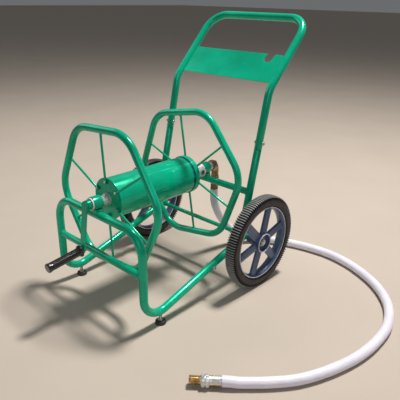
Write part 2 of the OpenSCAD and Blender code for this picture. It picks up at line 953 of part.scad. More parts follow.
module swept_tube(p, d, sides) {
    normals = carried(p, 0, [1, 0, 0]);
    rings = len(p);
    points = [
        for (i = [0 : rings - 1])
            for (k = [0 : sides - 1])
                let (t = tangent(p, i), n = normals[i], b = cross(t, n), a = k * 360 / sides)
                p[i] + d / 2 * (n * cos(a) + b * sin(a))
    ];
    walls = [
        for (i = [0 : rings - 2])
            for (k = [0 : sides - 1])
                let (a = i * sides + k, b = i * sides + (k + 1) % sides)
                [a, a + sides, b + sides, b]
    ];
    ends = [
        [for (k = [0 : sides - 1]) k],
        [for (k = [sides - 1 : -1 : 0]) (rings - 1) * sides + k]
    ];
    polyhedron(points, concat(walls, ends));
}

module hose() {
    color(clear_white)
        swept_tube(hose_line, hose_d, hose_sides);
}

hose_end = hose_route[len(hose_route) - 1];
hose_out = unit(hose_end - hose_route[len(hose_route) - 2]);

// A cylinder along the hose's end direction, from s0 to s1 past its last point
module at_hose_end(s0, s1, d, sides) {
    v = [hose_out[0], hose_out[1], 0];
    translate(hose_end)
        rotate([0, 90, atan2(v[1], v[0])])
            translate([0, 0, s0])
                rotate(30)
                    cylinder(h = s1 - s0, d = d, $fn = sides);
}

module hose_end_ferrule() {
    color(brass)
        at_hose_end(hose_gap, end_ferrule, hose_d - 2, $fn);
}

module hose_end_collar() {
    color(zinc)
        at_hose_end(end_ferrule + tiny, end_collar, 40, 6);
}

module hose_end_nipple() {
    color(brass)
        difference() {
            at_hose_end(end_collar + tiny, end_nipple, 28, $fn);
            at_hose_end(end_collar - 1, end_nipple + 1, 21, $fn);
        }
}

front_frame();
front_brace();
rear_rail(-1);  // rear_rail_left
rear_rail(1);  // rear_rail_right
upright(-1);  // upright_left
upright(1);  // upright_right
bearing_cross_tube();
handle_loop();
handle_plate();
handle_bolts();
rail_bolts();
axle();
axle_bosses();
axle_washers();
axle_nuts();
mirrored() wheel_rim();  // wheel_rim_left
mirrored() tyre();  // tyre_left
wheel_rim();  // wheel_rim_right
tyre();  // tyre_right
foot_pads();
foot_studs();
foot_nuts();
bearing_sleeve(hoop_y);  // front_bearing_sleeve
bearing_sleeve(axle_y + rear_bearing_y);  // rear_bearing_sleeve
saddle(hoop_y, hoop_z, tube_d);  // front_saddle
saddle(axle_y + rear_bearing_y, cross_z, cross_d);  // rear_saddle
bushing(hoop_y, -1);  // front_bushing
bushing(axle_y + rear_bearing_y, -1);  // rear_bushing
drum_shell();
drum_disc(front_disc_pos, 1, 0);  // drum_disc_front
drum_disc(rear_disc_pos, -1, skirt_w);  // drum_disc_rear
drum_bolts();
flange_ring(flange_front_y, front_turn);  // flange_ring_front
flange_ring(flange_rear_y, rear_turn);  // flange_ring_rear
spokes(flange_front_y, front_turn);  // spokes_front
spokes(flange_rear_y, rear_turn);  // spokes_rear
front_shaft();
shaft_coupling();
rear_shaft();
inlet_nipple();
outlet_tee();
crank_hub();
crank_arm();
grip_pin();
crank_grip();
swivel_elbow();
swivel_seal();
inlet_ferrule();
hose();
hose_end_ferrule();
hose_end_collar();
hose_end_nipple();
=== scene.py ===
import math
import bpy
import numpy as np
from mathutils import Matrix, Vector


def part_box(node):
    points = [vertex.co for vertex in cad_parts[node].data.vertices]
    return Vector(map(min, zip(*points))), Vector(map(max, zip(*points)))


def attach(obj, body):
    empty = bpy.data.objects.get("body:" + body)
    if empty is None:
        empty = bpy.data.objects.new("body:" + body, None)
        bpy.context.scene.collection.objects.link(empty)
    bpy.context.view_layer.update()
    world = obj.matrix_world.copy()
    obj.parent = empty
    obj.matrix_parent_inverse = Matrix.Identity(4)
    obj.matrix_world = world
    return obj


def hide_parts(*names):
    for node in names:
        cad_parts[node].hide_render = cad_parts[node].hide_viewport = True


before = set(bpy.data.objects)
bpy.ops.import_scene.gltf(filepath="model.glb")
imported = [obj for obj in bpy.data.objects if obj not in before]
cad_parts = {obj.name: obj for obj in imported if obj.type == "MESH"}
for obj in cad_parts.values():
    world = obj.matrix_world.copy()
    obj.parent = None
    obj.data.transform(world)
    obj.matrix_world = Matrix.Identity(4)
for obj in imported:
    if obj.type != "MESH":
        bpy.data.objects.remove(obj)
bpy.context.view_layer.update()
scene = bpy.context.scene
print("frame loaded")


def unit(v):
    # v / |v|, row by row
    v = np.asarray(v, float)
    return v / np.linalg.norm(v, axis=-1, keepdims=True)


def low(node):
    # least corner of the node's box, as in high and middle
    return np.array(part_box(node)[0])


def high(node):
    return np.array(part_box(node)[1])


def middle(node):
    return (low(node) + high(node)) / 2


# where things are, read from the frame
halfWidth = middle("upright_right")[0]
hoopY = middle("front_brace")[1]
braceZ = middle("front_brace")[2]
axleY, axleZ = middle("axle")[1:]
reelZ = middle("drum_shell")[2]
frontFace = low("drum_disc_front")[1]
rearFace = high("drum_disc_rear")[1]
frontRingY = middle("flange_ring_front")[1]
rearRingY = middle("flange_ring_rear")[1]
rearBearingY = middle("rear_bearing_sleeve")[1]
shaftEnd = low("front_shaft")[1] - 0.003
inletY = middle("inlet_ferrule")[1]
hoseTop = low("inlet_ferrule")[2] - 0.0006

frameSizes = {
    "tube": 0.014,           # radius of the frame tube
    "railSlope": 17.0,       # degrees
    "lowerLean": 12.0,       # degrees back from upright
    "upperLean": 43.0,
    "uprightReach": 0.026,   # foot of the uprights in front of the axle
    "split": 0.505,          # height of the joint under the handle
    "bend": 0.708,           # height of the bend in the handle legs
    "upperLength": 0.309,
    "footBend": 0.07,
    "hoopBend": 0.082,
    "leanBend": 0.09,
    "topBend": 0.076,
    "jointReach": 0.167,
    "hoopTop": high("front_frame")[2] - 0.014,
    "slim": 0.0138,          # radius of the straight bars, a hair less than the bends
    "brace": 0.012,
    "cross": 0.0125,
    "sink": 0.004,           # how far a bar's end goes past the middle of its tube
    "seam": 0.0004,
    "weldRail": 0.3,        # any height on the upright, to shoot the rail weld from
}


# the camera, turned by degrees
cameraSizes = {
    "place": (1.25835, -1.17285, 1.00402),
    "turn": (65.6359, -0.9409, 43.7883),
    "lens": 44.937,
    "shift": (0.01244, 0.05297),
}
cameraData = bpy.data.cameras.new("camera")
cameraData.lens = cameraSizes["lens"]
cameraData.sensor_width = 36.0
cameraData.shift_x, cameraData.shift_y = cameraSizes["shift"]
camera = bpy.data.objects.new("camera", cameraData)
camera.location = cameraSizes["place"]
camera.rotation_euler = [math.radians(a) for a in cameraSizes["turn"]]
scene.collection.objects.link(camera)
scene.camera = camera
print("camera placed")


def newShell():
    # lists that grids are added to; count is the number of points so far
    return {"points": [], "faces": [], "uv": [], "count": 0}


def addGrid(shell, grid, wrapU=False, wrapV=False, capStart=False, capEnd=False, span=(1.0, 1.0)):
    # faces between grid[u, v] and its neighbours; the outside is on the side of d/du x d/dv
    nu, nv = grid.shape[:2]
    start = shell["count"]
    uu, vv = np.meshgrid(np.arange(nu if wrapU else nu - 1), np.arange(nv if wrapV else nv - 1), indexing="ij")
    u1, v1 = (uu + 1) % nu, (vv + 1) % nv
    quads = np.stack([uu * nv + vv, u1 * nv + vv, u1 * nv + v1, uu * nv + v1], axis=-1)
    corners = np.stack([np.stack([uu + du, vv + dv], axis=-1) for du, dv in ((0, 0), (1, 0), (1, 1), (0, 1))],
        axis=-2)
    shell["points"].append(grid.reshape(-1, 3))
    shell["faces"] += (start + quads.reshape(-1, 4)).tolist()
    shell["uv"].append((corners * np.array(span) / (nu, nv)).reshape(-1, 2))
    if capStart:
        shell["faces"].append((start + np.arange(nv)).tolist())
        shell["uv"].append(np.zeros((nv, 2)))
    if capEnd:
        shell["faces"].append((start + (nu - 1) * nv + np.arange(nv)[::-1]).tolist())
        shell["uv"].append(np.zeros((nv, 2)))
    shell["count"] += nu * nv


def addSolid(shell, grid, closed=False):
    # a turned or swept surface, closed round v, and either joined end to end or capped
    addGrid(shell, grid, wrapU=closed, wrapV=True, capStart=not closed, capEnd=not closed)


def addTurned(shell, profile, base, axis, sides=64, shape=None, closed=False):
    # the turned surface of turnedGrid as a solid
    addSolid(shell, turnedGrid(profile, base, axis, sides, shape), closed)


def ringProfile(inner, outer, start, end):
    # a rectangle: inner < r < outer, start < h < end
    return [(inner, start), (outer, start), (outer, end), (inner, end)]


def addNut(shell, base, axis, across, bore, start, end, chamfer, full, edge, lastEdge=None, closed=True):
    # a hexagon whose r goes bore, chamfer, full, full, chamfer, bore between h = start and h = end
    last = edge if lastEdge is None else lastEdge
    profile = [(bore, start), (chamfer, start), (full, start + edge), (full, end - last), (chamfer, end),
        (bore, end)]
    addTurned(shell, profile, base, axis, 72, hexShape(across), closed)


def makePiece(name, shell, finish, body, replaced=(), smooth=35.0, bevel=0.0):
    # one mesh from the shell; edges sharper than smooth degrees stay sharp
    mesh = bpy.data.meshes.new(name)
    mesh.from_pydata(np.concatenate(shell["points"]).tolist(), [], shell["faces"])
    layer = mesh.uv_layers.new(name="UVMap")
    layer.data.foreach_set("uv", np.concatenate(shell["uv"]).astype(np.float32).ravel())
    mesh.materials.append(finish)
    mesh.shade_smooth()
    mesh.set_sharp_from_angle(angle=math.radians(smooth))
    piece = bpy.data.objects.new(name, mesh)
    scene.collection.objects.link(piece)
    if bevel:
        edge = piece.modifiers.new("edge", "BEVEL")
        edge.width = bevel
        edge.segments = 3
        edge.limit_method = "ANGLE"
        edge.harden_normals = False
    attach(piece, body)
    if replaced:
        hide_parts(*replaced)
    return piece


def lineFrame(axis):
    # two directions square to the axis, so that first x second = axis
    axis = unit(axis)
    helper = np.array([0.0, 1.0, 0.0]) if abs(axis[1]) < 0.9 else np.array([0.0, 0.0, 1.0])
    first = unit(helper - axis * (axis @ helper))
    return first, np.cross(axis, first), axis


def turnedGrid(profile, base, axis, sides=64, shape=None):
    # base + r (cos a first + sin a second) + h axis for each (r, h); a runs backwards
    profile = np.asarray(profile, float)
    first, second, axis = lineFrame(axis)
    angle = -2 * np.pi * np.arange(sides) / sides
    radius = np.repeat(profile[:, :1], sides, axis=1)
    if shape:
        radius = shape(radius, angle[None, :], profile[:, 1:])
    ring = np.cos(angle)[:, None] * first + np.sin(angle)[:, None] * second
    return np.asarray(base, float) + radius[:, :, None] * ring + profile[:, 1, None, None] * axis


def softened(profile, amount, closed=True, steps=4):
    # corner p becomes (1-t)^2 a + 2t(1-t) p + t^2 b, a and b a small way along its two sides
    p = np.asarray(profile, float)
    before, after = np.roll(p, 1, axis=0) - p, np.roll(p, -1, axis=0) - p
    lengthBefore = np.linalg.norm(before, axis=1, keepdims=True)
    lengthAfter = np.linalg.norm(after, axis=1, keepdims=True)
    reach = np.minimum(amount, 0.45 * np.minimum(lengthBefore, lengthAfter))
    a, b = p + before / lengthBefore * reach, p + after / lengthAfter * reach
    t = np.linspace(0, 1, steps)[None, :, None]
    curve = (1 - t) ** 2 * a[:, None] + 2 * t * (1 - t) * p[:, None] + t ** 2 * b[:, None]
    if closed:
        return curve.reshape(-1, 2)
    return np.concatenate([p[:1], curve[1:-1].reshape(-1, 2), p[-1:]])


def hexShape(across):
    # r = min(r, across / 2 / cos(a folded into +-30 degrees))
    def shape(radius, angle, height):
        folded = (angle + np.pi / 6) % (np.pi / 3) - np.pi / 6
        return np.minimum(radius, across / 2 / np.cos(folded))
    return shape


def fluteShape(count, depth, start, end):
    # r - depth (1/2 + 1/2 cos(count a)), only where start < h < end, fading over 3 mm
    def shape(radius, angle, height):
        window = np.clip((height - start) / 0.003, 0, 1) * np.clip((end - height) / 0.003, 0, 1)
        return radius - depth * window * (0.5 + 0.5 * np.cos(count * angle))
    return shape


def threaded(radius, depth, pitch, start, end):
    # r zigzags between radius and radius - depth once each pitch
    height = np.arange(start, end, pitch / 2)
    wave = np.where(np.arange(len(height)) % 2 == 0, radius - depth, radius)
    return np.stack([wave, height], axis=1)


def sweptGrid(path, radius, sides=32, reference=(0.45, 0.7, 0.5), closed=False):
    # p + r (cos a side + sin a up), side = tangent x reference
    path = np.asarray(path, float)
    ahead = np.roll(path, -1, axis=0) - np.roll(path, 1, axis=0) if closed else np.gradient(path, axis=0)
    tangent = unit(ahead)
    side = unit(np.cross(tangent, reference))
    up = np.cross(side, tangent)
    angle = 2 * np.pi * np.arange(sides) / sides
    ring = np.cos(angle)[None, :, None] * side[:, None] + np.sin(angle)[None, :, None] * up[:, None]
    return path[:, None] + np.broadcast_to(radius, (len(path),)).reshape(-1, 1, 1) * ring


def roundEnded(path, radius, edge):
    # the same path with two more stations at each end, where r falls by 0.3 edge and edge
    path = np.asarray(path, float)
    steps = np.array([0.0, 0.3, 1.0])[:, None] * edge
    drop = np.array([1.0, 0.3, 0.0]) * edge
    head = path[0] + unit(path[1] - path[0]) * steps
    tail = path[-1] + unit(path[-2] - path[-1]) * steps[::-1]
    radii = np.concatenate([radius - drop, np.full(len(path) - 2, radius), radius - drop[::-1]])
    return np.concatenate([head, path[1:-1], tail]), radii


def bentPath(corners, radii, steps=16):
    # straight runs joined by arcs: centre - r cos t n + r sin t u
    corners = np.asarray(corners, float)
    runs = [corners[:1]]
    for before, corner, after, radius in zip(corners[:-2], corners[1:-1], corners[2:], radii):
        u, v = unit(corner - before), unit(after - corner)
        turn = np.arccos(np.clip(u @ v, -1, 1))
        n = unit(v - u * np.cos(turn))
        centre = corner - u * radius * np.tan(turn / 2) + n * radius
        t = np.linspace(0, turn, steps)[:, None]
        runs.append(centre - n * radius * np.cos(t) + u * radius * np.sin(t))
    return np.concatenate(runs + [corners[-1:]])


def copeCurve(start, axis, radius, centre, otherAxis, otherRadius, sides=72):
    # where a bar from start along axis meets another bar: |d + t a| = R, both square to the other axis
    first, second, axis = lineFrame(axis)
    other = unit(otherAxis)
    angle = 2 * np.pi * np.arange(sides) / sides
    rim = np.asarray(start, float) + radius * (np.cos(angle)[:, None] * first + np.sin(angle)[:, None] * second)
    offset = rim - np.asarray(centre, float)
    offset = offset - (offset @ other)[:, None] * other
    along = axis - (axis @ other) * other
    a, b = along @ along, offset @ along
    c = (offset ** 2).sum(axis=1) - otherRadius ** 2
    return rim + ((-b - np.sqrt(np.maximum(b * b - a * c, 0))) / a)[:, None] * axis


def addWeld(shell, curve, axis, size):
    # a bead along the curve, r = size (1 + 0.16 sin(ripples a))
    ripples = np.arange(len(curve)) * 2 * np.pi / len(curve) * round(len(curve) / 6)
    addSolid(shell, sweptGrid(curve, size * (1 + 0.16 * np.sin(ripples)), 8, axis, closed=True), closed=True)


def feed(tree, socket, value):
    # a link for a socket, a fixed value for anything else
    if isinstance(value, bpy.types.NodeSocket):
        tree.links.new(value, socket)
    else:
        socket.default_value = value


def addNode(tree, kind, settings=(), values=()):
    # settings are the node's own, values go to its sockets
    node = tree.nodes.new(kind)
    for key, value in dict(settings).items():
        setattr(node, key, value)
    for key, value in dict(values).items():
        feed(tree, node.inputs[key], value)
    return node


def noiseOf(tree, where, scale, detail=3.0, rough=0.5):
    # about 0.2 to 0.8, scale patches to the metre
    values = {"Vector": where, "Scale": scale, "Detail": detail, "Roughness": rough}
    return addNode(tree, "ShaderNodeTexNoise", (), values).outputs["Fac"]


def ranged(tree, value, fromLow, fromHigh, toLow=0.0, toHigh=1.0):
    # toLow + (toHigh - toLow) (value - fromLow) / (fromHigh - fromLow), held to the ends
    values = {"Value": value, "From Min": fromLow, "From Max": fromHigh, "To Min": toLow, "To Max": toHigh}
    return addNode(tree, "ShaderNodeMapRange", (), values).outputs["Result"]


def mathOf(tree, operation, a, b=0.0):
    # a operation b
    return addNode(tree, "ShaderNodeMath", {"operation": operation}, {0: a, 1: b}).outputs["Value"]


def timesOf(tree, a, b):
    # a b
    return mathOf(tree, "MULTIPLY", a, b)


def mixed(tree, factor, a, b):
    # (1 - factor) a + factor b
    node = addNode(tree, "ShaderNodeMix", {"data_type": "RGBA"}, {0: factor})
    feed(tree, node.inputs[6], a if isinstance(a, bpy.types.NodeSocket) else (*a, 1.0))
    feed(tree, node.inputs[7], b if isinstance(b, bpy.types.NodeSocket) else (*b, 1.0))
    return node.outputs[2]


def bumped(tree, height, strength, distance, under=None):
    # the normal tipped by strength distance grad(height)
    node = addNode(tree, "ShaderNodeBump", (), {"Height": height, "Strength": strength, "Distance": distance})
    if under is not None:
        tree.links.new(under, node.inputs["Normal"])
    return node.outputs["Normal"]


def objectPlace(tree, scale=(1.0, 1.0, 1.0), centre=(0.0, 0.0, 0.0), turn=(0.0, 0.0, 0.0)):
    # scale (p - centre), turned
    where = addNode(tree, "ShaderNodeTexCoord").outputs["Object"]
    move = addNode(tree, "ShaderNodeVectorMath", {"operation": "SUBTRACT"}, {0: where, 1: centre})
    return addNode(tree, "ShaderNodeMapping", (), {"Vector": move.outputs[0], "Scale": scale,
        "Rotation": turn}).outputs["Vector"]


def newFinish(name, steady):
    # steady holds the values that are the same all over
    finish = bpy.data.materials.new(name)
    finish.use_nodes = True
    tree = finish.node_tree
    shader = tree.nodes["Principled BSDF"]
    for key, value in steady.items():
        shader.inputs[key].default_value = value
    return finish, tree, shader


enamelSizes = {
    "green": (0.0002, 0.5, 0.285),
    "deep": (0.0002, 0.34, 0.19),
    "sand": (0.4, 0.32, 0.23),
    "primer": (0.055, 0.062, 0.058),
    "orangePeel": 240.0,
}


def enamelFinish(name, streaks=None, paintedShadowBand=None):
    # green, a little deeper in large soft patches, with sand dust low down, fine scratches and a few chips
    s = enamelSizes
    finish, tree, shader = newFinish(name, {"Metallic": 0.22, "Coat Weight": 0.22, "Coat Roughness": 0.06,
        "IOR": 1.5, "Specular IOR Level": 0.2})
    where = objectPlace(tree)
    colour = mixed(tree, ranged(tree, noiseOf(tree, where, 6.0, 3.0), 0.3, 0.62), s["deep"], s["green"])
    if paintedShadowBand:  # painted shadow: a dark ring round the drum, just in front of the rear cap's skirt, where y lies between the two given values
        y = addNode(tree, "ShaderNodeSeparateXYZ", (), {0: where}).outputs["Y"]
        inside = timesOf(tree, ranged(tree, y, paintedShadowBand[0] - 0.0006, paintedShadowBand[0]),
            ranged(tree, y, paintedShadowBand[1] + 0.0006, paintedShadowBand[1]))
        colour = mixed(tree, inside, colour, (0.004, 0.075, 0.085))
    height = addNode(tree, "ShaderNodeSeparateXYZ", (), {0: where}).outputs["Z"]
    lowDown = ranged(tree, height, 0.02, 0.3, 1.0, 0.16)
    dust = timesOf(tree, ranged(tree, noiseOf(tree, where, 52.0, 6.0, 0.65), 0.47, 0.78), lowDown)
    colour = mixed(tree, timesOf(tree, dust, 0.15), colour, s["sand"])
    lines = noiseOf(tree, objectPlace(tree, (14.0, 900.0, 300.0), (0, 0, 0), (0.5, 0.3, 0.9)), 1.0, 2.0)
    scratch = ranged(tree, lines, 0.69, 0.74)
    colour = mixed(tree, timesOf(tree, scratch, 0.14), colour, (0.12, 0.5, 0.34))
    chips = ranged(tree, noiseOf(tree, where, 95.0, 2.0), 0.775, 0.79)
    colour = mixed(tree, chips, colour, s["primer"])
    rough = mathOf(tree, "ADD", ranged(tree, noiseOf(tree, where, 30.0, 4.0), 0.3, 0.7, 0.15, 0.27),
        timesOf(tree, dust, 0.35))
    if streaks:  # long marks that run the drum's length
        marks = noiseOf(tree, objectPlace(tree, streaks), 1.0, 5.0, 0.6)
        colour = mixed(tree, ranged(tree, marks, 0.5, 0.74, 0.0, 0.4), colour, (0.01, 0.46, 0.27))
        rough = mathOf(tree, "ADD", rough, ranged(tree, marks, 0.42, 0.62, -0.08, 0.16))
    feed(tree, shader.inputs["Base Color"], colour)
    feed(tree, shader.inputs["Roughness"], rough)
    peel = bumped(tree, noiseOf(tree, where, s["orangePeel"], 1.0), 0.1, 0.0006)
    feed(tree, shader.inputs["Normal"], bumped(tree, mathOf(tree, "SUBTRACT", 0.0, chips), 0.5, 0.0003, peel))
    return finish


def metalFinish(name, bright, dull, steady, cell=0.0, grain=160.0):
    # bright and dull patches, spangle cells where cell is set, rubbed roughness, pitted bump
    finish, tree, shader = newFinish(name, steady)
    where = objectPlace(tree)
    patch = ranged(tree, noiseOf(tree, where, 45.0, 5.0, 0.6), 0.32, 0.7)
    colour = mixed(tree, patch, dull, bright)
    rough = ranged(tree, noiseOf(tree, where, 85.0, 4.0), 0.3, 0.7, 0.26, 0.46)
    if cell:
        spangle = addNode(tree, "ShaderNodeTexVoronoi", (), {"Vector": where, "Scale": cell}).outputs["Color"]
        tone = addNode(tree, "ShaderNodeSeparateColor", (), {0: spangle}).outputs[0]
        colour = mixed(tree, ranged(tree, tone, 0.0, 1.0, 0.0, 0.55), colour, dull)
        rough = mathOf(tree, "ADD", rough, ranged(tree, tone, 0.0, 1.0, -0.06, 0.12))
    feed(tree, shader.inputs["Base Color"], colour)
    feed(tree, shader.inputs["Roughness"], rough)
    feed(tree, shader.inputs["Normal"], bumped(tree, noiseOf(tree, where, grain * 4, 3.0), 0.14, 0.0004))
    return finish


def plasticFinish(name, base, worn, steady, roughLow, roughHigh, grain, dustColour=None, dustAmount=0.0):
    # moulded plastic: soft patches, fine grain, and dust that gathers in spots
    finish, tree, shader = newFinish(name, steady)
    where = objectPlace(tree)
    colour = mixed(tree, ranged(tree, noiseOf(tree, where, 24.0, 4.0), 0.35, 0.7), base, worn)
    spots = ranged(tree, noiseOf(tree, where, 110.0, 6.0, 0.7), 0.5, 0.75)
    if dustColour:
        colour = mixed(tree, timesOf(tree, spots, dustAmount), colour, dustColour)
    feed(tree, shader.inputs["Base Color"], colour)
    feed(tree, shader.inputs["Roughness"], ranged(tree, spots, 0.0, 1.0, roughLow, roughHigh))
    feed(tree, shader.inputs["Normal"], bumped(tree, noiseOf(tree, where, grain, 2.0), 0.16, 0.0005))
    return finish


def wheelRadius(tree, wheelX):
    # r = sqrt(y^2 + z^2) from the axle, and how far x is from the wheel's middle
    flat = objectPlace(tree, (0.0, 1.0, 1.0), (wheelX, axleY, axleZ))
    radius = addNode(tree, "ShaderNodeVectorMath", {"operation": "LENGTH"}, {0: flat}).outputs["Value"]
    across = addNode(tree, "ShaderNodeSeparateXYZ", (),
        {0: objectPlace(tree, (1.0, 1.0, 1.0), (wheelX, axleY, axleZ))}).outputs["X"]
    return radius, mathOf(tree, "ABSOLUTE", across)


def tyreFinish(name, wheelX):
    # painted shade: near black in the grooves; painted highlight: light grey on the ribs' tops, mixed with
    # sand; faint rings on the sidewall
    finish, tree, shader = newFinish(name, {"IOR": 1.5, "Specular IOR Level": 0.45})
    radius, across = wheelRadius(tree, wheelX)
    where = objectPlace(tree)
    sand = ranged(tree, noiseOf(tree, where, 70.0, 7.0, 0.7), 0.46, 0.76)
    onTread = ranged(tree, across, 0.0222, 0.0212)
    top = timesOf(tree, onTread, ranged(tree, radius, 0.1722, 0.1738))
    grooveShade = mathOf(tree, "SUBTRACT", onTread, top)
    colour = mixed(tree, timesOf(tree, sand, 0.2), (0.011, 0.0095, 0.011), (0.08, 0.064, 0.052))
    # painted shade: the groove floors darker, near black
    colour = mixed(tree, grooveShade, colour, (0.002, 0.0018, 0.0018))
    # painted highlight: the ribs' tops light grey, mixed with sand
    ribTopHighlightAndSand = mixed(tree, sand, (0.3, 0.3, 0.31), (0.4, 0.37, 0.34))
    colour = mixed(tree, timesOf(tree, top, 0.9), colour, ribTopHighlightAndSand)
    rings = mathOf(tree, "SINE", timesOf(tree, radius, 1700.0))
    onWall = timesOf(tree, ranged(tree, radius, 0.1695, 0.1665), ranged(tree, across, 0.016, 0.019))
    feed(tree, shader.inputs["Base Color"], colour)
    feed(tree, shader.inputs["Roughness"], ranged(tree, sand, 0.0, 1.0, 0.42, 0.75))
    grain = bumped(tree, noiseOf(tree, where, 700.0, 3.0), 0.25, 0.0004)
    feed(tree, shader.inputs["Normal"], bumped(tree, timesOf(tree, rings, onWall), 0.35, 0.0004, grain))
    return finish


def rimFinish(name, wheelX):
    # slate blue, with a painted highlight in grey-white on the lips, broken up by noise: r near the bead and
    # near the hub ring
    finish, tree, shader = newFinish(name, {"IOR": 1.5, "Specular IOR Level": 0.45, "Coat Weight": 0.15,
        "Coat Roughness": 0.25})
    radius, across = wheelRadius(tree, wheelX)
    where = objectPlace(tree)
    colour = mixed(tree, ranged(tree, noiseOf(tree, where, 24.0, 4.0), 0.35, 0.7), (0.052, 0.084, 0.17),
        (0.085, 0.13, 0.24))
    outerLip = timesOf(tree, ranged(tree, radius, 0.134, 0.1352), ranged(tree, across, 0.0152, 0.0168))
    hubLip = timesOf(tree, timesOf(tree, ranged(tree, radius, 0.0325, 0.0335),
        ranged(tree, radius, 0.0378, 0.0368)), ranged(tree, across, 0.0212, 0.0225))
    # painted highlight: grey-white on the bead's lip and the hub ring's lip
    paintedLipHighlight = timesOf(tree, mathOf(tree, "MAXIMUM", outerLip, hubLip),
        ranged(tree, noiseOf(tree, where, 60.0, 5.0), 0.25, 0.55, 0.55, 1.0))
    colour = mixed(tree, paintedLipHighlight, colour, (0.66, 0.66, 0.74))
    dust = ranged(tree, noiseOf(tree, where, 95.0, 6.0, 0.7), 0.5, 0.78)
    colour = mixed(tree, timesOf(tree, dust, 0.16), colour, (0.36, 0.31, 0.26))
    feed(tree, shader.inputs["Base Color"], colour)
    feed(tree, shader.inputs["Roughness"], ranged(tree, dust, 0.0, 1.0, 0.3, 0.6))
    feed(tree, shader.inputs["Normal"], bumped(tree, noiseOf(tree, where, 380.0, 2.0), 0.14, 0.0005))
    return finish


def hoseFinish(name, turns):
    # milky plastic; a faint diamond of cords: sin(2 pi (turns u + 8 v)) and sin(2 pi (turns u - 8 v))
    finish, tree, shader = newFinish(name, {"IOR": 1.46, "Subsurface Weight": 0.3, "Subsurface Scale": 0.006,
        "Subsurface Radius": (1.0, 0.9, 1.0), "Coat Weight": 0.25, "Coat Roughness": 0.18})
    uv = addNode(tree, "ShaderNodeUVMap", {"uv_map": "UVMap"}).outputs["UV"]
    u, v = [addNode(tree, "ShaderNodeSeparateXYZ", (), {0: uv}).outputs[key] for key in ("X", "Y")]
    cords = None
    for hand in (8.0, -8.0):
        phase = mathOf(tree, "ADD", timesOf(tree, u, turns * 2 * math.pi), timesOf(tree, v, hand * 2 * math.pi))
        line = ranged(tree, mathOf(tree, "SINE", phase), 0.8, 1.0)
        cords = line if cords is None else mathOf(tree, "MAXIMUM", cords, line)
    where = objectPlace(tree)
    colour = mixed(tree, ranged(tree, noiseOf(tree, where, 14.0, 4.0), 0.35, 0.68), (0.76, 0.73, 0.86),
        (0.86, 0.84, 0.93))
    colour = mixed(tree, timesOf(tree, cords, 0.22), colour, (0.98, 0.97, 0.99))
    dust = ranged(tree, noiseOf(tree, where, 60.0, 6.0, 0.7), 0.54, 0.78)
    colour = mixed(tree, timesOf(tree, dust, 0.22), colour, (0.55, 0.46, 0.38))
    feed(tree, shader.inputs["Base Color"], colour)
    feed(tree, shader.inputs["Roughness"], ranged(tree, dust, 0.0, 1.0, 0.32, 0.6))
    feed(tree, shader.inputs["Normal"], bumped(tree, cords, 0.1, 0.0005))
    return finish


def ferruleFinish(name):
    # painted highlight: light silver on the upper half, turning to brass below; split by height, with a ragged
    # edge
    finish, tree, shader = newFinish(name, {"Metallic": 0.8})
    where = objectPlace(tree)
    height = addNode(tree, "ShaderNodeSeparateXYZ", (), {0: where}).outputs["Z"]
    edge = mathOf(tree, "ADD", height, ranged(tree, noiseOf(tree, where, 120.0, 4.0), 0.3, 0.7, -0.002, 0.002))
    patch = ranged(tree, noiseOf(tree, where, 70.0, 4.0), 0.3, 0.7)
    # painted highlight: the upper half light silver, the lower half brass
    paintedHighlightSilver = mixed(tree, patch, (0.62, 0.64, 0.6), (0.8, 0.8, 0.76))
    bare = mixed(tree, patch, (0.38, 0.24, 0.08), (0.62, 0.42, 0.15))
    feed(tree, shader.inputs["Base Color"], mixed(tree, ranged(tree, edge, 0.018, 0.0205), bare, paintedHighlightSilver))
    feed(tree, shader.inputs["Roughness"], ranged(tree, patch, 0.0, 1.0, 0.28, 0.44))
    feed(tree, shader.inputs["Normal"], bumped(tree, noiseOf(tree, where, 640.0, 3.0), 0.14, 0.0004))
    return finish


greenEnamel = enamelFinish("greenEnamel")
# painted shadow: the drum's dark ring sits in front of the rear cap's skirt
drumEnamel = enamelFinish("drumEnamel", streaks=(70.0, 5.0, 70.0), paintedShadowBand=(rearFace - 0.029, rearFace - 0.0205))
zincPlate = metalFinish("zincPlate", (0.66, 0.66, 0.63), (0.4, 0.4, 0.38), {"Metallic": 0.95})
galvanisedPipe = metalFinish("galvanisedPipe", (0.82, 0.84, 0.85), (0.55, 0.57, 0.59), {"Metallic": 0.7},
    cell=190.0)
dullBrass = metalFinish("dullBrass", (0.8, 0.6, 0.31), (0.2, 0.115, 0.045), {"Metallic": 0.88})
oldBronze = metalFinish("oldBronze", (0.5, 0.34, 0.19), (0.17, 0.105, 0.055), {"Metallic": 0.8})
whiteNylon = plasticFinish("whiteNylon", (0.78, 0.77, 0.73), (0.66, 0.64, 0.59),
    {"Subsurface Weight": 0.08, "Subsurface Scale": 0.003}, 0.34, 0.55, 420.0, (0.42, 0.36, 0.28), 0.25)
blackGrip = plasticFinish("blackGrip", (0.01, 0.01, 0.011), (0.02, 0.02, 0.021),
    {"IOR": 1.5, "Coat Weight": 0.35, "Coat Roughness": 0.12}, 0.16, 0.34, 500.0, (0.1, 0.085, 0.07), 0.06)
blackRubber = plasticFinish("blackRubber", (0.014, 0.014, 0.015), (0.03, 0.029, 0.028), {"IOR": 1.5}, 0.55,
    0.85, 520.0, (0.3, 0.24, 0.17), 0.45)
print("finishes made")


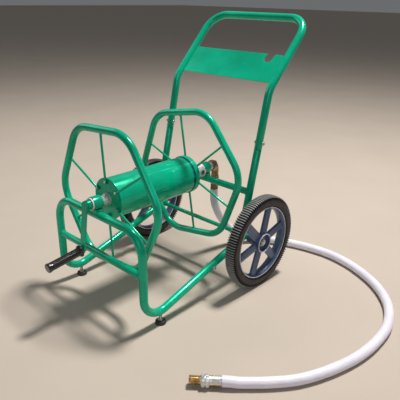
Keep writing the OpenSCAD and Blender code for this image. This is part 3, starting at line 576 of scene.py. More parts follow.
# the free hose
hoseSizes = {
    "radius": 0.0165,
    "steps": 12,       # stations between two route points
    "cordPitch": 0.026,
    "route": [         # y is counted from the axle
        (0.001, 0.091, 0.198), (0.003, 0.112, 0.158), (0.008, 0.144, 0.112), (0.02, 0.189, 0.066),
        (0.048, 0.239, 0.033), (0.095, 0.287, 0.018), (0.155, 0.326, 0.017), (0.222, 0.354, 0.017),
        (0.302, 0.374, 0.017), (0.4, 0.381, 0.017), (0.516, 0.354, 0.017), (0.638, 0.288, 0.017),
        (0.732, 0.191, 0.017), (0.784, 0.076, 0.017), (0.798, -0.031, 0.017), (0.792, -0.141, 0.017),
        (0.765, -0.251, 0.017), (0.724, -0.348, 0.017), (0.672, -0.419, 0.017), (0.612, -0.481, 0.017),
        (0.588, -0.503, 0.02), (0.57, -0.5186, 0.02),
    ],
    "ferrule": 0.034,  # ends of the pieces on the free end, counted from the hose
    "collar": 0.058,
    "nipple": 0.092,
    "collarAcross": 0.0346,
    "tailThread": (0.014, 0.0022, 0.0042),   # radius, depth, pitch
    "inletAcross": 0.0312,
}


def smoothRoute(points, steps):
    # Catmull-Rom: (2b + (c-a)t + (2a-5b+4c-d)t^2 + (3b-a-3c+d)t^3) / 2
    p = np.concatenate([points[:1], points, points[-1:]])
    a, b, c, d = p[:-3, None], p[1:-2, None], p[2:-1, None], p[3:, None]
    t = (np.arange(steps) / steps)[None, :, None]
    curve = 0.5 * (2 * b + (c - a) * t + (2 * a - 5 * b + 4 * c - d) * t ** 2
        + (3 * b - a - 3 * c + d) * t ** 3)
    return np.concatenate([curve.reshape(-1, 3), points[-1:]])


hoseRoute = np.array([(0.0, inletY, hoseTop), (0.0, inletY, hoseTop - 0.024),
    (0.0, inletY + 0.003, hoseTop - 0.054)] + [(x, y + axleY, z) for x, y, z in hoseSizes["route"]])
hoseLine = smoothRoute(hoseRoute, hoseSizes["steps"])
hoseLength = float(np.linalg.norm(np.diff(hoseLine, axis=0), axis=1).sum())
hoseShell = newShell()
hosePath, hoseRadii = roundEnded(hoseLine, hoseSizes["radius"], 0.0012)
addGrid(hoseShell, sweptGrid(hosePath, hoseRadii, 28, (-0.6, 0.2, 0.75)), wrapV=True, capStart=True,
    capEnd=True)
hosePlastic = hoseFinish("hosePlastic", round(hoseLength / hoseSizes["cordPitch"]))
hose = makePiece("inlet_hose", hoseShell, hosePlastic, "frame", ["hose"])

hoseOut = unit((hoseRoute[-1] - hoseRoute[-2]) * (1, 1, 0))
hoseEnd = hoseRoute[-1]
hz = hoseSizes
crimps = np.linspace(0.006, hz["ferrule"] - 0.006, 25)
crimped = np.stack([0.0154 - 0.0004 * np.cos(np.linspace(0, 8 * np.pi, 25)), crimps], axis=1)
ferruleShell = newShell()
ferrule = hz["ferrule"]
tail = [[(0.004, 0.0006), (0.0148, 0.0006), (0.0155, 0.0014), (0.0155, 0.0045)], crimped,
    [(0.0155, ferrule - 0.003), (0.0155, ferrule), (0.004, ferrule)]]
addTurned(ferruleShell, np.concatenate(tail), hoseEnd, hoseOut)
endFerrule = makePiece("hose_tail_ferrule", ferruleShell, ferruleFinish("ferruleHighlightAndBrass"), "frame",
    ["hose_end_ferrule"])
collarShell = newShell()
at, end = hz["ferrule"] + 0.00005, hz["collar"]
tail = [(0.004, at), (0.0164, at), (0.0198, at + 0.002), (0.0198, at + 0.0098), (0.0172, at + 0.0108),
    (0.0172, at + 0.0128), (0.0198, at + 0.0138), (0.0198, end - 0.002), (0.0164, end), (0.004, end)]
addTurned(collarShell, tail, hoseEnd, hoseOut, 72, hexShape(hz["collarAcross"]))
endCollar = makePiece("hose_tail_collar", collarShell, galvanisedPipe, "frame",
    ["hose_end_collar"], smooth=30)
nippleShell = newShell()
at, end = hz["collar"] + 0.00005, hz["nipple"]
tail = [[(0.0105, at), (0.0128, at), (0.0128, at + 0.004)],
    threaded(*hz["tailThread"], at + 0.006, end - 0.003),
    [(0.0129, end - 0.0012), (0.0124, end), (0.0108, end), (0.0105, end - 0.0003)]]
addTurned(nippleShell, np.concatenate(tail), hoseEnd, hoseOut, closed=True)
endNipple = makePiece("hose_tail_thread", nippleShell, dullBrass, "frame", ["hose_end_nipple"],
    smooth=50)

inletShell = newShell()
ribbed = [(0.0153, 0.0006), (0.0153, 0.003)]
for rib in (0.003, 0.012, 0.021):
    ribbed += [(0.016, rib + 0.0006), (0.016, rib + 0.0036), (0.015, rib + 0.0042), (0.015, rib + 0.0085)]
addTurned(inletShell, softened([(0.004, 0.0006)] + ribbed + [(0.015, 0.034), (0.004, 0.034)], 0.0005, False),
    (0, inletY, hoseTop), (0, 0, 1))
addNut(inletShell, (0, inletY, hoseTop), (0, 0, 1), hz["inletAcross"], 0.004, 0.03395, 0.04995, 0.015, 0.018,
    0.00165, 0.00155, closed=False)
makePiece("hose_inlet_ferrule", inletShell, oldBronze, "frame", ["inlet_ferrule"])
print("hose made,", round(hoseLength, 3), "m")


def railPoint(side, y):
    # z = axle + (y - axleY) tan slope
    return (side * halfWidth, y, axleZ + (y - axleY) * math.tan(math.radians(frameSizes["railSlope"])))


footZ = axleZ - frameSizes["uprightReach"] * math.tan(math.radians(frameSizes["railSlope"]))
leanTan = math.tan(math.radians(frameSizes["lowerLean"]))


def uprightPoint(side, z):
    # y = foot + (z - footZ) tan lean
    return (side * halfWidth, axleY - frameSizes["uprightReach"] + (z - footZ) * leanTan, z)


def tubePiece(name, corners, radii, radius, replaced, edge=0.0015):
    # a bar along bentPath, its ends rounded by edge
    shell = newShell()
    path, stations = roundEnded(bentPath(corners, radii), radius, edge)
    addSolid(shell, sweptGrid(path, stations, 48))
    return makePiece(name, shell, greenEnamel, "frame", replaced)


fs = frameSizes
jointY = axleY - fs["jointReach"]
tubePiece("front_hoop_tube", [railPoint(1, jointY), railPoint(1, hoopY), (halfWidth, hoopY, fs["hoopTop"]),
    (-halfWidth, hoopY, fs["hoopTop"]), railPoint(-1, hoopY), railPoint(-1, jointY)],
    [fs["footBend"], fs["hoopBend"], fs["hoopBend"], fs["footBend"]], fs["tube"], ["front_frame"])
tubePiece("front_cross_brace", [(side * (halfWidth - fs["sink"]), hoopY, braceZ) for side in (-1, 1)], [],
    fs["brace"], ["front_brace"])
railBack = high("rear_rail_right")[1] - 0.0041
for side, word in ((-1, "left"), (1, "right")):
    front, back = np.array(railPoint(side, jointY)), np.array(railPoint(side, railBack))
    start = front + unit(back - front) * fs["seam"]
    tubePiece("rear_rail_tube_" + word, [start, back], [], fs["slim"], ["rear_rail_" + word], edge=0.0022)
    tubePiece("upright_tube_" + word, [uprightPoint(side, footZ + fs["sink"]),
        uprightPoint(side, fs["split"] - fs["seam"])], [], fs["slim"], ["upright_" + word], edge=0.0022)
crossZ = middle("bearing_cross_tube")[2]
tubePiece("rear_cross_tube", [np.array(uprightPoint(side, crossZ)) - (side * fs["sink"], 0, 0)
    for side in (-1, 1)], [], fs["cross"], ["bearing_cross_tube"])
bendPoint = {s: np.array(uprightPoint(s, fs["bend"])) for s in (-1, 1)}
upper = math.radians(fs["upperLean"])
topPoint = {s: bendPoint[s] + (0, fs["upperLength"] * math.sin(upper), fs["upperLength"] * math.cos(upper))
    for s in (-1, 1)}
tubePiece("push_handle_tube", [uprightPoint(1, fs["split"]), bendPoint[1], topPoint[1], topPoint[-1],
    bendPoint[-1], uprightPoint(-1, fs["split"])],
    [fs["leanBend"], fs["topBend"], fs["topBend"], fs["leanBend"]], fs["tube"], ["handle_loop"])

# weld beads where the bars meet the tubes
weldSizes = {"frame": 0.0022, "reel": 0.0014}
welds = newShell()
railAxis = np.array(railPoint(1, 1.0)) - np.array(railPoint(1, 0.0))
uprightAxis = np.array(uprightPoint(1, 0.6)) - np.array(uprightPoint(1, 0.2))
for side in (-1, 1):
    addWeld(welds, copeCurve((0, hoopY, braceZ), (side, 0, 0), fs["brace"], (side * halfWidth, hoopY, braceZ),
        (0, 0, 1), fs["tube"]), (side, 0, 0), weldSizes["frame"])
    addWeld(welds, copeCurve((0, rearBearingY, crossZ), (side, 0, 0), fs["cross"], uprightPoint(side, crossZ),
        uprightAxis, fs["slim"]), (side, 0, 0), weldSizes["frame"])
    addWeld(welds, copeCurve(uprightPoint(side, fs["weldRail"]), -uprightAxis, fs["slim"],
        railPoint(side, axleY), railAxis, fs["slim"]), uprightAxis, weldSizes["frame"])
makePiece("frame_weld_beads", welds, greenEnamel, "frame", smooth=60)
print("frame tubes made")


# the flat plate between the handle's legs
plateSizes = {"halfWidth": halfWidth - 0.013, "low": 0.027, "height": 0.118, "thickness": 0.003, "slotX": 0.152,
    "slotWidth": 0.034, "slotDepth": 0.036, "slotLean": 12.0, "notch": 0.008}


def arcPoints(centre, radius, start, end, steps):
    # centre + r (cos a, sin a), a from start to end in degrees
    a = np.radians(np.linspace(start, end, steps))
    return np.asarray(centre) + radius * np.stack([np.cos(a), np.sin(a)], axis=1)


def addPlate(shell, outline, base, across, up, normal, start, end):
    # the outline in the plane of across and up, drawn out along normal from start to end
    flat = outline[::-1]
    plane = np.asarray(base) + flat[:, :1] * np.asarray(across) + flat[:, 1:] * np.asarray(up)
    addSolid(shell, np.stack([plane + np.asarray(normal) * start, plane + np.asarray(normal) * end]))


ps = plateSizes
plateTop = ps["low"] + ps["height"]
slotMiddle = np.array([ps["slotX"], plateTop - ps["slotDepth"] + ps["slotWidth"] / 2])
lean = math.radians(ps["slotLean"])
slotUp = np.array([math.sin(lean), math.cos(lean)])
slotArc = arcPoints(slotMiddle, ps["slotWidth"] / 2, -ps["slotLean"], -180 - ps["slotLean"], 25)
slotRight = slotArc[0] + slotUp * (plateTop - slotArc[0, 1]) / slotUp[1]
slotLeft = slotArc[-1] + slotUp * (plateTop - slotArc[-1, 1]) / slotUp[1]
plateOutline = np.concatenate([
    [(-ps["halfWidth"], ps["low"]), (ps["halfWidth"], ps["low"])],
    arcPoints((ps["halfWidth"] - 0.001, plateTop), ps["notch"], -85, -180, 9),
    [slotRight], slotArc, [slotLeft], [(-ps["halfWidth"], plateTop)],
])
plateShell = newShell()
addPlate(plateShell, plateOutline, (0, bendPoint[1][1], bendPoint[1][2]), (1, 0, 0),
    (0, math.sin(upper), math.cos(upper)), (0, -math.cos(upper), math.sin(upper)), -ps["thickness"] / 2,
    ps["thickness"] / 2)
makePiece("handle_name_plate", plateShell, greenEnamel, "frame", ["handle_plate"], smooth=30,
    bevel=0.0007)


# bolts through the tubes
boltSizes = {"head": 0.007, "headHeight": 0.005, "shank": 0.004, "across": 0.013, "nut": 0.006,
    "chamfer": (0.0062, 0.0075, 0.0009), "gap": 0.00005, "past": 0.01,
    "dome": [(0.0004, 0.0), (0.0028, 0.0003), (0.0052, 0.0013), (0.0067, 0.003), (0.007, 0.0044)]}
spigotHalf = 0.024


def addCrossBolt(shell, place, side):
    # a button head inside, the shank through, a chamfered nut outside
    b = boltSizes
    half = fs["tube"] + b["gap"]
    base = np.array(place) - (side * (half + b["headHeight"]), 0, 0)
    far = b["headHeight"] + 2 * half
    end = far + b["past"]
    profile = b["dome"] + [(b["head"], b["headHeight"]), (b["shank"], b["headHeight"]),
        (b["shank"], end - 0.0008), (b["shank"] - 0.0006, end), (0.0004, end)]
    addTurned(shell, profile, base, (side, 0, 0), 40)
    addNut(shell, base, (side, 0, 0), b["across"], b["shank"], far, far + b["nut"], *b["chamfer"])


railDown = np.array(railPoint(1, jointY)) - unit(railAxis) * spigotHalf
splitUp = np.array(uprightPoint(1, fs["split"])) + unit(uprightAxis) * spigotHalf
for name, place, node in (("rail_joint_bolts", railDown, "rail_bolts"),
    ("handle_joint_bolts", splitUp, "handle_bolts")):
    shell = newShell()
    for side in (-1, 1):
        addCrossBolt(shell, (side * halfWidth, place[1], place[2]), side)
    makePiece(name, shell, zincPlate, "frame", [node], smooth=30)


# the axle
axleSizes = {
    "radius": 0.008, "bore": 0.00805, "edge": 0.001, "boss": 0.011, "bossHalf": 0.018,
    "paintEnd": 0.252,       # no ring of points is nearer the paint's end, at 0.25
    "washer": 0.015, "washerThick": 0.0025, "washerGap": 0.0029, "rimEnd": 0.3044,
    "across": 0.0242, "nut": 0.008, "nutChamfer": (0.0118, 0.014, 0.0012, 0.0014),
}
az = axleSizes
axleLow, axleHigh = low("axle")[0], high("axle")[0]
shell = newShell()
r, edge = az["radius"], az["edge"]
addTurned(shell, softened([(0.0006, axleLow), (r - edge, axleLow), (r, axleLow + edge), (r, -az["paintEnd"]),
    (r, az["paintEnd"]), (r, axleHigh - edge), (r - edge, axleHigh), (0.0006, axleHigh)], 0.0005, False),
    (0, axleY, axleZ), (1, 0, 0))
axle = makePiece("axle_rod", shell, greenEnamel, "frame", ["axle"])
axle.data.materials.append(zincPlate)
middles = np.empty(len(axle.data.polygons) * 3)
axle.data.polygons.foreach_get("center", middles)
bare = np.abs(middles[0::3]) > 0.25   # painted only between the wheels, so the faces past the rings are bare
axle.data.polygons.foreach_set("material_index", bare.astype(np.int32))
bosses, washers, nuts = newShell(), newShell(), newShell()
bossIn, bossOut = halfWidth - az["bossHalf"], halfWidth + az["bossHalf"]
for side in (-1, 1):
    centre, out = (0, axleY, axleZ), (side, 0, 0)
    addTurned(bosses, softened(ringProfile(az["bore"], az["boss"], bossIn, bossOut), 0.001), centre, out,
        closed=True)
    for at in (low("wheel_rim_right")[0] - az["washerGap"], az["rimEnd"]):
        washer = ringProfile(az["bore"], az["washer"], at, at + az["washerThick"])
        addTurned(washers, softened(washer, 0.0004), centre, out, closed=True)
    at = az["rimEnd"] + az["washerThick"] + 0.00005
    addNut(nuts, centre, out, az["across"], az["bore"], at, at + az["nut"], *az["nutChamfer"])
makePiece("axle_boss_rings", bosses, greenEnamel, "frame", ["axle_bosses"])
makePiece("axle_flat_washers", washers, zincPlate, "frame", ["axle_washers"])
makePiece("axle_end_nuts", nuts, zincPlate, "frame", ["axle_nuts"], smooth=30)
print("axle made")


# the wheels
tyreSizes = {
    "ribs": 118, "depth": 0.0075, "inner": 0.1385, "outer": 0.178, "halfWidth": 0.022,
    "treadHalf": 0.0225, "edgeFade": 0.0015,
    "shoulder": 0.163, "shoulderFade": 0.004,   # the lugs start at this radius
    "lug": (0.0, 0.06, 0.36, 0.42),   # starts, tops, leaves its top, ends; in shares of a pitch
    "square": 0.46,                              # 1 is an ellipse, less is squarer
}
rimSizes = {
    "spokes": 6, "spokeHub": 0.0165, "spokeMiddle": 0.0118, "spokeRim": 0.015,
    "spokeAdd": 0.0012, "spokeWaist": 2.48, "thickness": 0.0072,
    "from": 0.026, "to": 0.129, "ridge": 0.0022, "turn": 14.0,
    # the sections are (r, distance out from the wheel's middle)
    "bead": [(0.1372, -0.015), (0.1372, 0.015), (0.1384, 0.0182), (0.1366, 0.0196), (0.1338, 0.0176),
        (0.129, 0.009),
             (0.1268, 0.0), (0.129, -0.009), (0.1338, -0.0176), (0.1366, -0.0196), (0.1384, -0.0182)],
    "hub": [(0.00806, -0.046), (0.02, -0.046), (0.022, -0.044), (0.024, -0.02), (0.03, -0.008),
        (0.031, 0.004),
            (0.0355, 0.008), (0.037, 0.0215), (0.0362, 0.0238), (0.034, 0.0238), (0.0325, 0.0215),
            (0.0315, 0.0095),
            (0.015, 0.006), (0.00806, 0.006)],
}


def squared(value, power):
    # sign(x) |x|^power
    return np.sign(value) * np.abs(value) ** power


def tyreGrid(centre, out):
    # section r = m + h C(cos a), x = w C(sin a); the grooves take depth off where |x| is inside the tread
    s = tyreSizes
    a = 2 * np.pi * np.arange(56) / 56
    mid, half = (s["inner"] + s["outer"]) / 2, (s["outer"] - s["inner"]) / 2
    r, x = mid + half * squared(np.cos(a), s["square"]), s["halfWidth"] * squared(np.sin(a), s["square"] + 0.1)
    phase, top = np.array(s["lug"]), np.array([0.0, 1.0, 1.0, 0.0])
    angle = -2 * np.pi * (np.arange(s["ribs"])[:, None] + phase).ravel() / s["ribs"]
    onTread = np.clip((s["treadHalf"] + s["edgeFade"] - np.abs(x)) / s["edgeFade"], 0, 1)
    onTread = onTread * np.clip((r - s["shoulder"]) / s["shoulderFade"], 0, 1)
    radius = r[:, None] - s["depth"] * onTread[:, None] * (1 - np.tile(top, s["ribs"]))[None, :]
    first, second, axis = lineFrame(out)
    ring = np.cos(angle)[:, None] * first + np.sin(angle)[:, None] * second
    return np.asarray(centre) + radius[:, :, None] * ring + x[:, None, None] * axis


def spokeGrid(centre, out, angle):
    # section s = b C(cos a), h = h0 - t C(sin a), with a raised line along the outer face
    s = rimSizes
    first, second, axis = lineFrame(out)
    radial = math.cos(angle) * first + math.sin(angle) * second
    across = -math.sin(angle) * first + math.cos(angle) * second
    t = np.linspace(0, 1, 22)[:, None]
    rho = s["from"] + (s["to"] - s["from"]) * t
    width = s["spokeHub"] * (1 - t) ** 2 + s["spokeRim"] * t ** 2 + s["spokeAdd"]
    width = width + s["spokeMiddle"] * s["spokeWaist"] * t * (1 - t)
    a = (2 * np.pi * np.arange(40) / 40)[None, :]
    side = width * squared(np.cos(a), 0.55)
    rise = -s["thickness"] * squared(np.sin(a), 0.55)
    outer = np.clip(rise / s["thickness"], 0, 1)
    rise = rise + outer * (s["ridge"] * np.exp(-(side / 0.0032) ** 2) - 0.0012 * (side / width) ** 2)
    height = 0.0055 - 0.003 * t + rise
    return np.asarray(centre) + rho[:, :, None] * radial + side[:, :, None] * across + height[:, :, None] * axis


for side, word in ((-1, "left"), (1, "right")):
    wheelX = middle("tyre_" + word)[0]
    centre, out = np.array([wheelX, axleY, axleZ]), np.array([side, 0, 0])
    shell = newShell()
    addSolid(shell, tyreGrid(centre, out), closed=True)
    makePiece("lugged_tyre_" + word, shell, tyreFinish("tyreRubber_" + word, wheelX), "wheel_" + word,
        ["tyre_" + word], smooth=32)
    shell = newShell()
    addTurned(shell, softened(rimSizes["bead"], 0.0012), centre, out, 160, closed=True)
    addTurned(shell, softened(rimSizes["hub"], 0.0012), centre, out, 96, closed=True)
    for k in range(rimSizes["spokes"]):
        addSolid(shell, spokeGrid(centre, out, math.radians(rimSizes["turn"] + 60 * k)))
    makePiece("spoked_rim_" + word, shell, rimFinish("rimPlastic_" + word, wheelX),
        "wheel_" + word, ["wheel_rim_" + word], smooth=40)
print("wheels made")


# the feet
footSizes = {"radius": 0.019, "top": 0.0163, "height": 0.012, "stud": 0.005, "bore": 0.00505, "across": 0.0165,
    "chamfer": (0.008, 0.0095, 0.00095)}
pads, studs, footNuts = newShell(), newShell(), newShell()
footY, studTop = middle("foot_studs")[1], high("foot_studs")[2]
for side in (-1, 1):
    base, up = (side * halfWidth, footY, 0.0), (0, 0, 1)
    f = footSizes
    addTurned(pads, softened([(0.0006, 0.0), (f["radius"] - 0.0005, 0.0), (f["radius"], 0.0012),
        (f["radius"] - 0.0003, 0.005), (f["top"], f["height"]), (0.01, f["height"]),
        (0.00505, f["height"] - 0.0008), (0.00505, 0.004), (0.0006, 0.004)], 0.0014, False), base, up)
    addTurned(studs, np.concatenate([[(0.0006, 0.00405), (0.0046, 0.00405)],
        threaded(f["stud"], 0.0006, 0.0016, 0.0052, studTop - 0.002), [(0.0046, studTop), (0.0006, studTop)]]),
        base, up, 40)
    addNut(footNuts, base, up, f["across"], f["bore"], f["height"] + 0.00005, f["height"] + 0.00605,
        *f["chamfer"])
makePiece("levelling_pads", pads, blackRubber, "frame", ["foot_pads"])
makePiece("levelling_studs", studs, zincPlate, "frame", ["foot_studs"], smooth=50)
makePiece("levelling_nuts", footNuts, zincPlate, "frame", ["foot_nuts"], smooth=30)


# the bearings
bearingSizes = {"sleeve": 0.023, "half": 0.017, "bore": 0.02031, "shaftBore": 0.01676, "flange": 0.021,
    "flangeThick": 0.005}
for word, y in (("front", hoopY), ("rear", rearBearingY)):
    b = bearingSizes
    centre = (0, y, reelZ)
    shell = newShell()
    addTurned(shell, softened(ringProfile(b["bore"], b["sleeve"], -b["half"], b["half"]), 0.0009), centre,
        (0, 1, 0), 80, closed=True)
    makePiece(word + "_bearing_housing", shell, greenEnamel, "frame", [word + "_bearing_sleeve"])
    shell = newShell()
    face = b["half"] + 0.00005
    addTurned(shell, softened([(b["shaftBore"], -b["half"]), (b["bore"] - 0.00005, -b["half"]),
        (b["bore"] - 0.00005, face), (b["flange"], face), (b["flange"], face + b["flangeThick"]),
        (b["shaftBore"], face + b["flangeThick"])], 0.0008), centre, (0, -1, 0), 80, closed=True)
    makePiece(word + "_nylon_bushing", shell, whiteNylon, "frame", [word + "_bushing"])
print("bearings made")


# the drum and its flanges
drumSizes = {"radius": 0.068, "wall": 0.003, "disc": 0.0705, "thick": 0.004, "skirt": 0.02, "bore": 0.01675,
    "skirtBore": 0.06805}
d = drumSizes
shell = newShell()
yLow, yHigh = low("drum_shell")[1], high("drum_shell")[1]
addTurned(shell, [(d["radius"] - d["wall"], yLow), (d["radius"], yLow), (d["radius"], (yLow + yHigh) / 2),
    (d["radius"], yHigh), (d["radius"] - d["wall"], yHigh)], (0, 0, reelZ), (0, 1, 0), 160, closed=True)
makePiece("drum_barrel", shell, drumEnamel, "reel", ["drum_shell"])
shell = newShell()
addTurned(shell, softened(ringProfile(d["bore"], d["disc"], 0.0, d["thick"]), 0.0012), (0, frontFace, reelZ),
    (0, 1, 0), 160, closed=True)
makePiece("drum_front_plate", shell, drumEnamel, "reel", ["drum_disc_front"])
shell = newShell()
addTurned(shell, softened([(d["bore"], -d["thick"]), (d["skirtBore"], -d["thick"]),
    (d["skirtBore"], -d["skirt"]), (d["disc"], -d["skirt"]), (d["disc"], 0.0), (d["bore"], 0.0)], 0.0012),
    (0, rearFace, reelZ), (0, 1, 0), 160, closed=True)
makePiece("drum_rear_cap", shell, drumEnamel, "reel", ["drum_disc_rear"])

reelSizes = {"flat": 0.229, "corner": 0.105, "tube": 0.0125, "rod": 0.004, "rodIn": 0.0505, "frontTurn": 4.0,
    "rearTurn": 10.0, "button": [(0.0045, 0.0), (0.0045, 0.0012), (0.0036, 0.0024), (0.0018, 0.003),
    (0.0004, 0.0031)], "buttonOut": 0.007, "buttonUp": 0.0081}


def aboutReel(radius, degrees, y):
    # (r cos a, y, reel height + r sin a)
    a = np.radians(degrees)
    return np.stack([radius * np.cos(a), np.broadcast_to(y, np.shape(a)), reelZ + radius * np.sin(a)], axis=-1)


def ringPath(y, turn):
    # six arcs of the corner radius about centres at (flat - corner) / cos 30, joined by straight sides
    r = reelSizes
    corner = (r["flat"] - r["corner"]) / math.cos(math.radians(30))
    k = 60.0 * np.arange(6)[:, None]
    centres = aboutReel(corner, k + turn + np.zeros((1, 13)), y)
    arc = np.radians(k + turn + np.linspace(-30, 30, 13)[None, :])
    return (centres + r["corner"] * np.stack([np.cos(arc), 0 * arc, np.sin(arc)], axis=-1)).reshape(-1, 3)


boltShell = newShell()
for word, y, face, out, turn in (("front", frontRingY, frontFace, -1, reelSizes["frontTurn"]),
    ("rear", rearRingY, rearFace, 1, reelSizes["rearTurn"])):
    r = reelSizes
    shell = newShell()
    addSolid(shell, sweptGrid(ringPath(y, turn), r["tube"], 40, (0, 1, 0), closed=True), closed=True)
    makePiece(word + "_flange_tube", shell, greenEnamel, "reel", ["flange_ring_" + word],
        smooth=60)
    shell = newShell()
    for k in range(6):
        a = turn + 30.0 + 60.0 * k
        inner, outer = aboutReel(r["rodIn"], a, y), aboutReel(r["flat"] - r["tube"] + 0.002, a, y)
        path, radii = roundEnded([inner, outer], r["rod"], 0.001)
        addSolid(shell, sweptGrid(path, radii, 20))
        radial = unit(outer - inner)
        side = np.cross(radial, (0, 1, 0))
        addWeld(shell, copeCurve(inner, radial, r["rod"], aboutReel(r["flat"], a, y), side, r["tube"], 36),
            radial, weldSizes["reel"])
        addTurned(boltShell, r["button"], aboutReel(r["rodIn"] + r["buttonOut"], a, face + out * r["buttonUp"]),
            (0, out, 0), 28)
    makePiece(word + "_flange_rods", shell, greenEnamel, "reel", ["spokes_" + word], smooth=60)
makePiece("drum_button_heads", boltShell, zincPlate, "reel", ["drum_bolts"])
print("reel made")


# the shaft line
shaftSizes = {
    "radius": 0.0167, "seat": 0.012, "seatLength": 0.015, "bore": 0.0133,
    "threadFrom": 0.0315, "threadTo": 0.013, "threadDepth": 0.0016, "pitch": 0.0052,
    "collar": [(0.01675, -0.012), (0.0202, -0.012), (0.0202, -0.008), (0.0187, -0.0075), (0.0187, -0.0045),
        (0.0207, -0.004),
               (0.0207, -0.00005), (0.01675, -0.00005)],
    "collarFlutes": 24, "fluteDepth": 0.0007,
}
s = shaftSizes
yLow, yHigh = low("front_shaft")[1], high("front_shaft")[1]
shell = newShell()
# the thread shows between the bearing and the collar
threadLow, threadHigh = frontFace - s["threadFrom"], frontFace - s["threadTo"]
r, seatEnd = s["radius"], yLow + s["seatLength"]
pipe = [[(0.0006, yLow), (s["seat"] - 0.0008, yLow), (s["seat"], yLow + 0.0008), (s["seat"], seatEnd),
    (r, seatEnd), (r, threadLow)], threaded(r, s["threadDepth"], s["pitch"], threadLow + s["pitch"] / 2,
    threadHigh), [(r, threadHigh + 0.001), (r, yHigh), (0.0006, yHigh)]]
addTurned(shell, np.concatenate(pipe), (0, 0, reelZ), (0, 1, 0))
makePiece("crank_shaft_pipe", shell, galvanisedPipe, "reel", ["front_shaft"])
shell = newShell()
flutes = fluteShape(s["collarFlutes"], s["fluteDepth"], -0.013, 0.003)
addTurned(shell, softened(s["collar"], 0.0005), (0, frontFace, reelZ), (0, 1, 0), 96, flutes, closed=True)
makePiece("ribbed_lock_collar", shell, galvanisedPipe, "reel", ["shaft_coupling"])
yLow, yHigh = low("rear_shaft")[1], high("rear_shaft")[1]
shell = newShell()
addTurned(shell, softened(ringProfile(0.0006, s["radius"], yLow, yHigh), 0.0006, False), (0, 0, reelZ),
    (0, 1, 0))
makePiece("rear_stub_pipe", shell, galvanisedPipe, "reel", ["rear_shaft"])
yLow, yHigh = low("inlet_nipple")[1], high("inlet_nipple")[1]
shell = newShell()
addTurned(shell, softened(ringProfile(s["bore"], s["radius"], yLow, yHigh), 0.0006), (0, 0, reelZ), (0, 1, 0),
    closed=True)
makePiece("water_nipple", shell, galvanisedPipe, "reel", ["inlet_nipple"])

# brass swivel: a hexagonal socket and a bent neck with a bead at its foot
swivelSizes = {
    "across": 0.0398, "socket": (0.01676, 0.0, 0.022, 0.0195, 0.0229, 0.0018),
    # as in addNut, from the bore on
    "bend": 0.0175, "thick": 0.0162, "thin": 0.0145,
    "bead": [(0.014, 0.0), (0.015, 0.0), (0.0163, 0.002), (0.0163, 0.006), (0.015, 0.008), (0.014, 0.008)],
}
v = swivelSizes
elbowLow = low("swivel_elbow")
shell = newShell()
addNut(shell, (0, elbowLow[1], reelZ), (0, 1, 0), v["across"], *v["socket"])
neck = bentPath([(0, elbowLow[1] + 0.006, reelZ), (0, inletY, reelZ), (0, inletY, elbowLow[2])], [v["bend"]])
addSolid(shell, sweptGrid(neck, np.linspace(v["thick"], v["thin"], len(neck)), 48, (1, 0, 0)))
addTurned(shell, softened(v["bead"], 0.0008), (0, inletY, elbowLow[2]), (0, 0, 1), closed=True)
makePiece("brass_swivel", shell, oldBronze, "frame", ["swivel_elbow"])
print("shaft line made")


# the crank
crankSizes = {"length": 0.15, "half": 0.0125, "eye": 0.0155, "thick": 0.006, "lean": 8.0, "droop": 8.0,
    "pin": 0.005, "gap": 0.008, "grip": 0.127, "radius": 0.0145, "collar": 0.02, "flutes": 10,
    "fluteDepth": 0.0009, "nut": (-0.012, -0.006, 0.0076, 0.009, 0.0008), "across": 0.0156}
c = crankSizes
tilt = math.radians(90 - c["lean"])
barUp, barOut = np.array([0, math.cos(tilt), math.sin(tilt)]), np.array([0, -math.sin(tilt), math.cos(tilt)])
shaftPoint = np.array([0, shaftEnd, reelZ])
meet = math.degrees(math.acos(c["half"] / c["eye"]))
crankOutline = np.concatenate([arcPoints((0, -c["length"]), c["half"], 180, 360, 25),
    arcPoints((0, 0), c["eye"], -meet, 180 + meet, 33)])
shell = newShell()
addPlate(shell, crankOutline, shaftPoint, (1, 0, 0), barUp, barOut, 0.0, c["thick"])
makePiece("flat_crank_bar", shell, greenEnamel, "reel", ["crank_arm"], smooth=30, bevel=0.0012)
pinPoint = shaftPoint - barUp * c["length"] + barOut * c["thick"] / 2
droop = math.radians(c["droop"])
pinOut = np.array([0, -math.cos(droop), -math.sin(droop)])
shell = newShell()
addTurned(shell, softened([(0.0004, -0.012), (c["pin"], -0.012), (c["pin"], 0.124), (0.0004, 0.125)], 0.0006,
    False), pinPoint, pinOut, 40)
addNut(shell, pinPoint, pinOut, c["across"], c["pin"], *c["nut"])
addTurned(shell, softened(ringProfile(c["pin"], 0.01, 0.006, 0.0075), 0.0003), pinPoint, pinOut, closed=True)
makePiece("grip_pin_bolt", shell, zincPlate, "reel", ["grip_pin"], smooth=30)
gripStart, gripEnd = c["gap"], c["gap"] + c["grip"]
shell = newShell()
body = [(0.0004, gripEnd - 0.0079), (0.00506, gripEnd - 0.0079), (0.00506, gripStart), (0.0185, gripStart),
    (c["collar"], gripStart + 0.0015), (c["collar"], gripStart + 0.0055), (0.018, gripStart + 0.0075),
    (0.0146, gripStart + 0.0095), (c["radius"], gripStart + 0.014)]
lengthwise = np.stack([np.full(24, c["radius"]), np.linspace(gripStart + 0.018, gripEnd - 0.014, 24)], axis=1)
body = np.concatenate([body, lengthwise, [(c["radius"], gripEnd - 0.0085), (0.0155, gripEnd - 0.0078),
    (0.0155, gripEnd - 0.0016), (0.0142, gripEnd), (0.0004, gripEnd)]])
addTurned(shell, body, pinPoint, pinOut, 112, fluteShape(c["flutes"], c["fluteDepth"], gripStart + 0.015,
    gripEnd - 0.012))
makePiece("fluted_hand_grip", shell, blackGrip, "crank_grip", ["crank_grip"], smooth=38)
print("crank made")


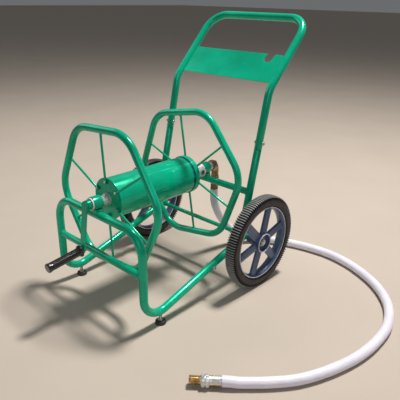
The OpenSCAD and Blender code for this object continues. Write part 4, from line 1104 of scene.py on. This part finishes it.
# the nodes that stay get finishes too
for names, finish in ((("front_saddle", "rear_saddle", "crank_hub"), greenEnamel),
    (("outlet_tee",), galvanisedPipe), (("swivel_seal",), blackRubber)):
    for name in names:
        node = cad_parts[name]
        node.data.materials.clear()
        node.data.materials.append(finish)


# floor and light
lightSizes = {
    "floor": (0.53, 0.455, 0.385),
    "floorHalf": 40.0,
    "target": (0.1, 0.0, 0.35),
    "sky": 0.155,
    "key": {"place": (0.45, 1.5, 4.6), "size": 0.7, "power": 275.0, "colour": (1.0, 0.975, 0.94)},
    "fill": {"place": (2.6, -2.6, 2.2), "size": 2.4, "power": 21.0, "colour": (0.94, 0.97, 1.0)},
    "left": {"place": (-3.2, -0.8, 2.4), "size": 2.0, "power": 18.0, "colour": (1.0, 1.0, 1.0)},
}


def addLight(name, sizes):
    # a square lamp turned so that -z points at the target
    data = bpy.data.lights.new(name, "AREA")
    data.size, data.energy, data.color = sizes["size"], sizes["power"], sizes["colour"]
    lamp = bpy.data.objects.new(name, data)
    lamp.location = sizes["place"]
    lamp.rotation_euler = (Vector(lightSizes["target"]) - lamp.location).to_track_quat("-Z", "Y").to_euler()
    scene.collection.objects.link(lamp)


for name in ("key", "fill", "left"):
    addLight(name, lightSizes[name])
sky = bpy.data.worlds.new("softSky")
sky.use_nodes = True
sky.node_tree.nodes["Background"].inputs["Color"].default_value = (0.93, 0.96, 1.0, 1.0)
sky.node_tree.nodes["Background"].inputs["Strength"].default_value = lightSizes["sky"]
scene.world = sky
scene.view_settings.view_transform = "Standard"

floorFinish, floorTree, floorShader = newFinish("paleFloor", {"Specular IOR Level": 0.2})
floorWhere = objectPlace(floorTree)
feed(floorTree, floorShader.inputs["Base Color"],
    mixed(floorTree, ranged(floorTree, noiseOf(floorTree, floorWhere, 3.0, 5.0), 0.3, 0.7), lightSizes["floor"],
    tuple(0.95 * v for v in lightSizes["floor"])))
feed(floorTree, floorShader.inputs["Roughness"],
    ranged(floorTree, noiseOf(floorTree, floorWhere, 60.0, 2.0), 0.3, 0.7, 0.75, 0.9))
floorMesh = bpy.data.meshes.new("floor")
floorMesh.from_pydata([(x * lightSizes["floorHalf"], y * lightSizes["floorHalf"], 0) for x,
    y in ((-1, -1), (1, -1), (1, 1), (-1, 1))], [], [(0, 1, 2, 3)])
floorMesh.materials.append(floorFinish)
floor = bpy.data.objects.new("floor", floorMesh)
scene.collection.objects.link(floor)
print("floor and light placed")
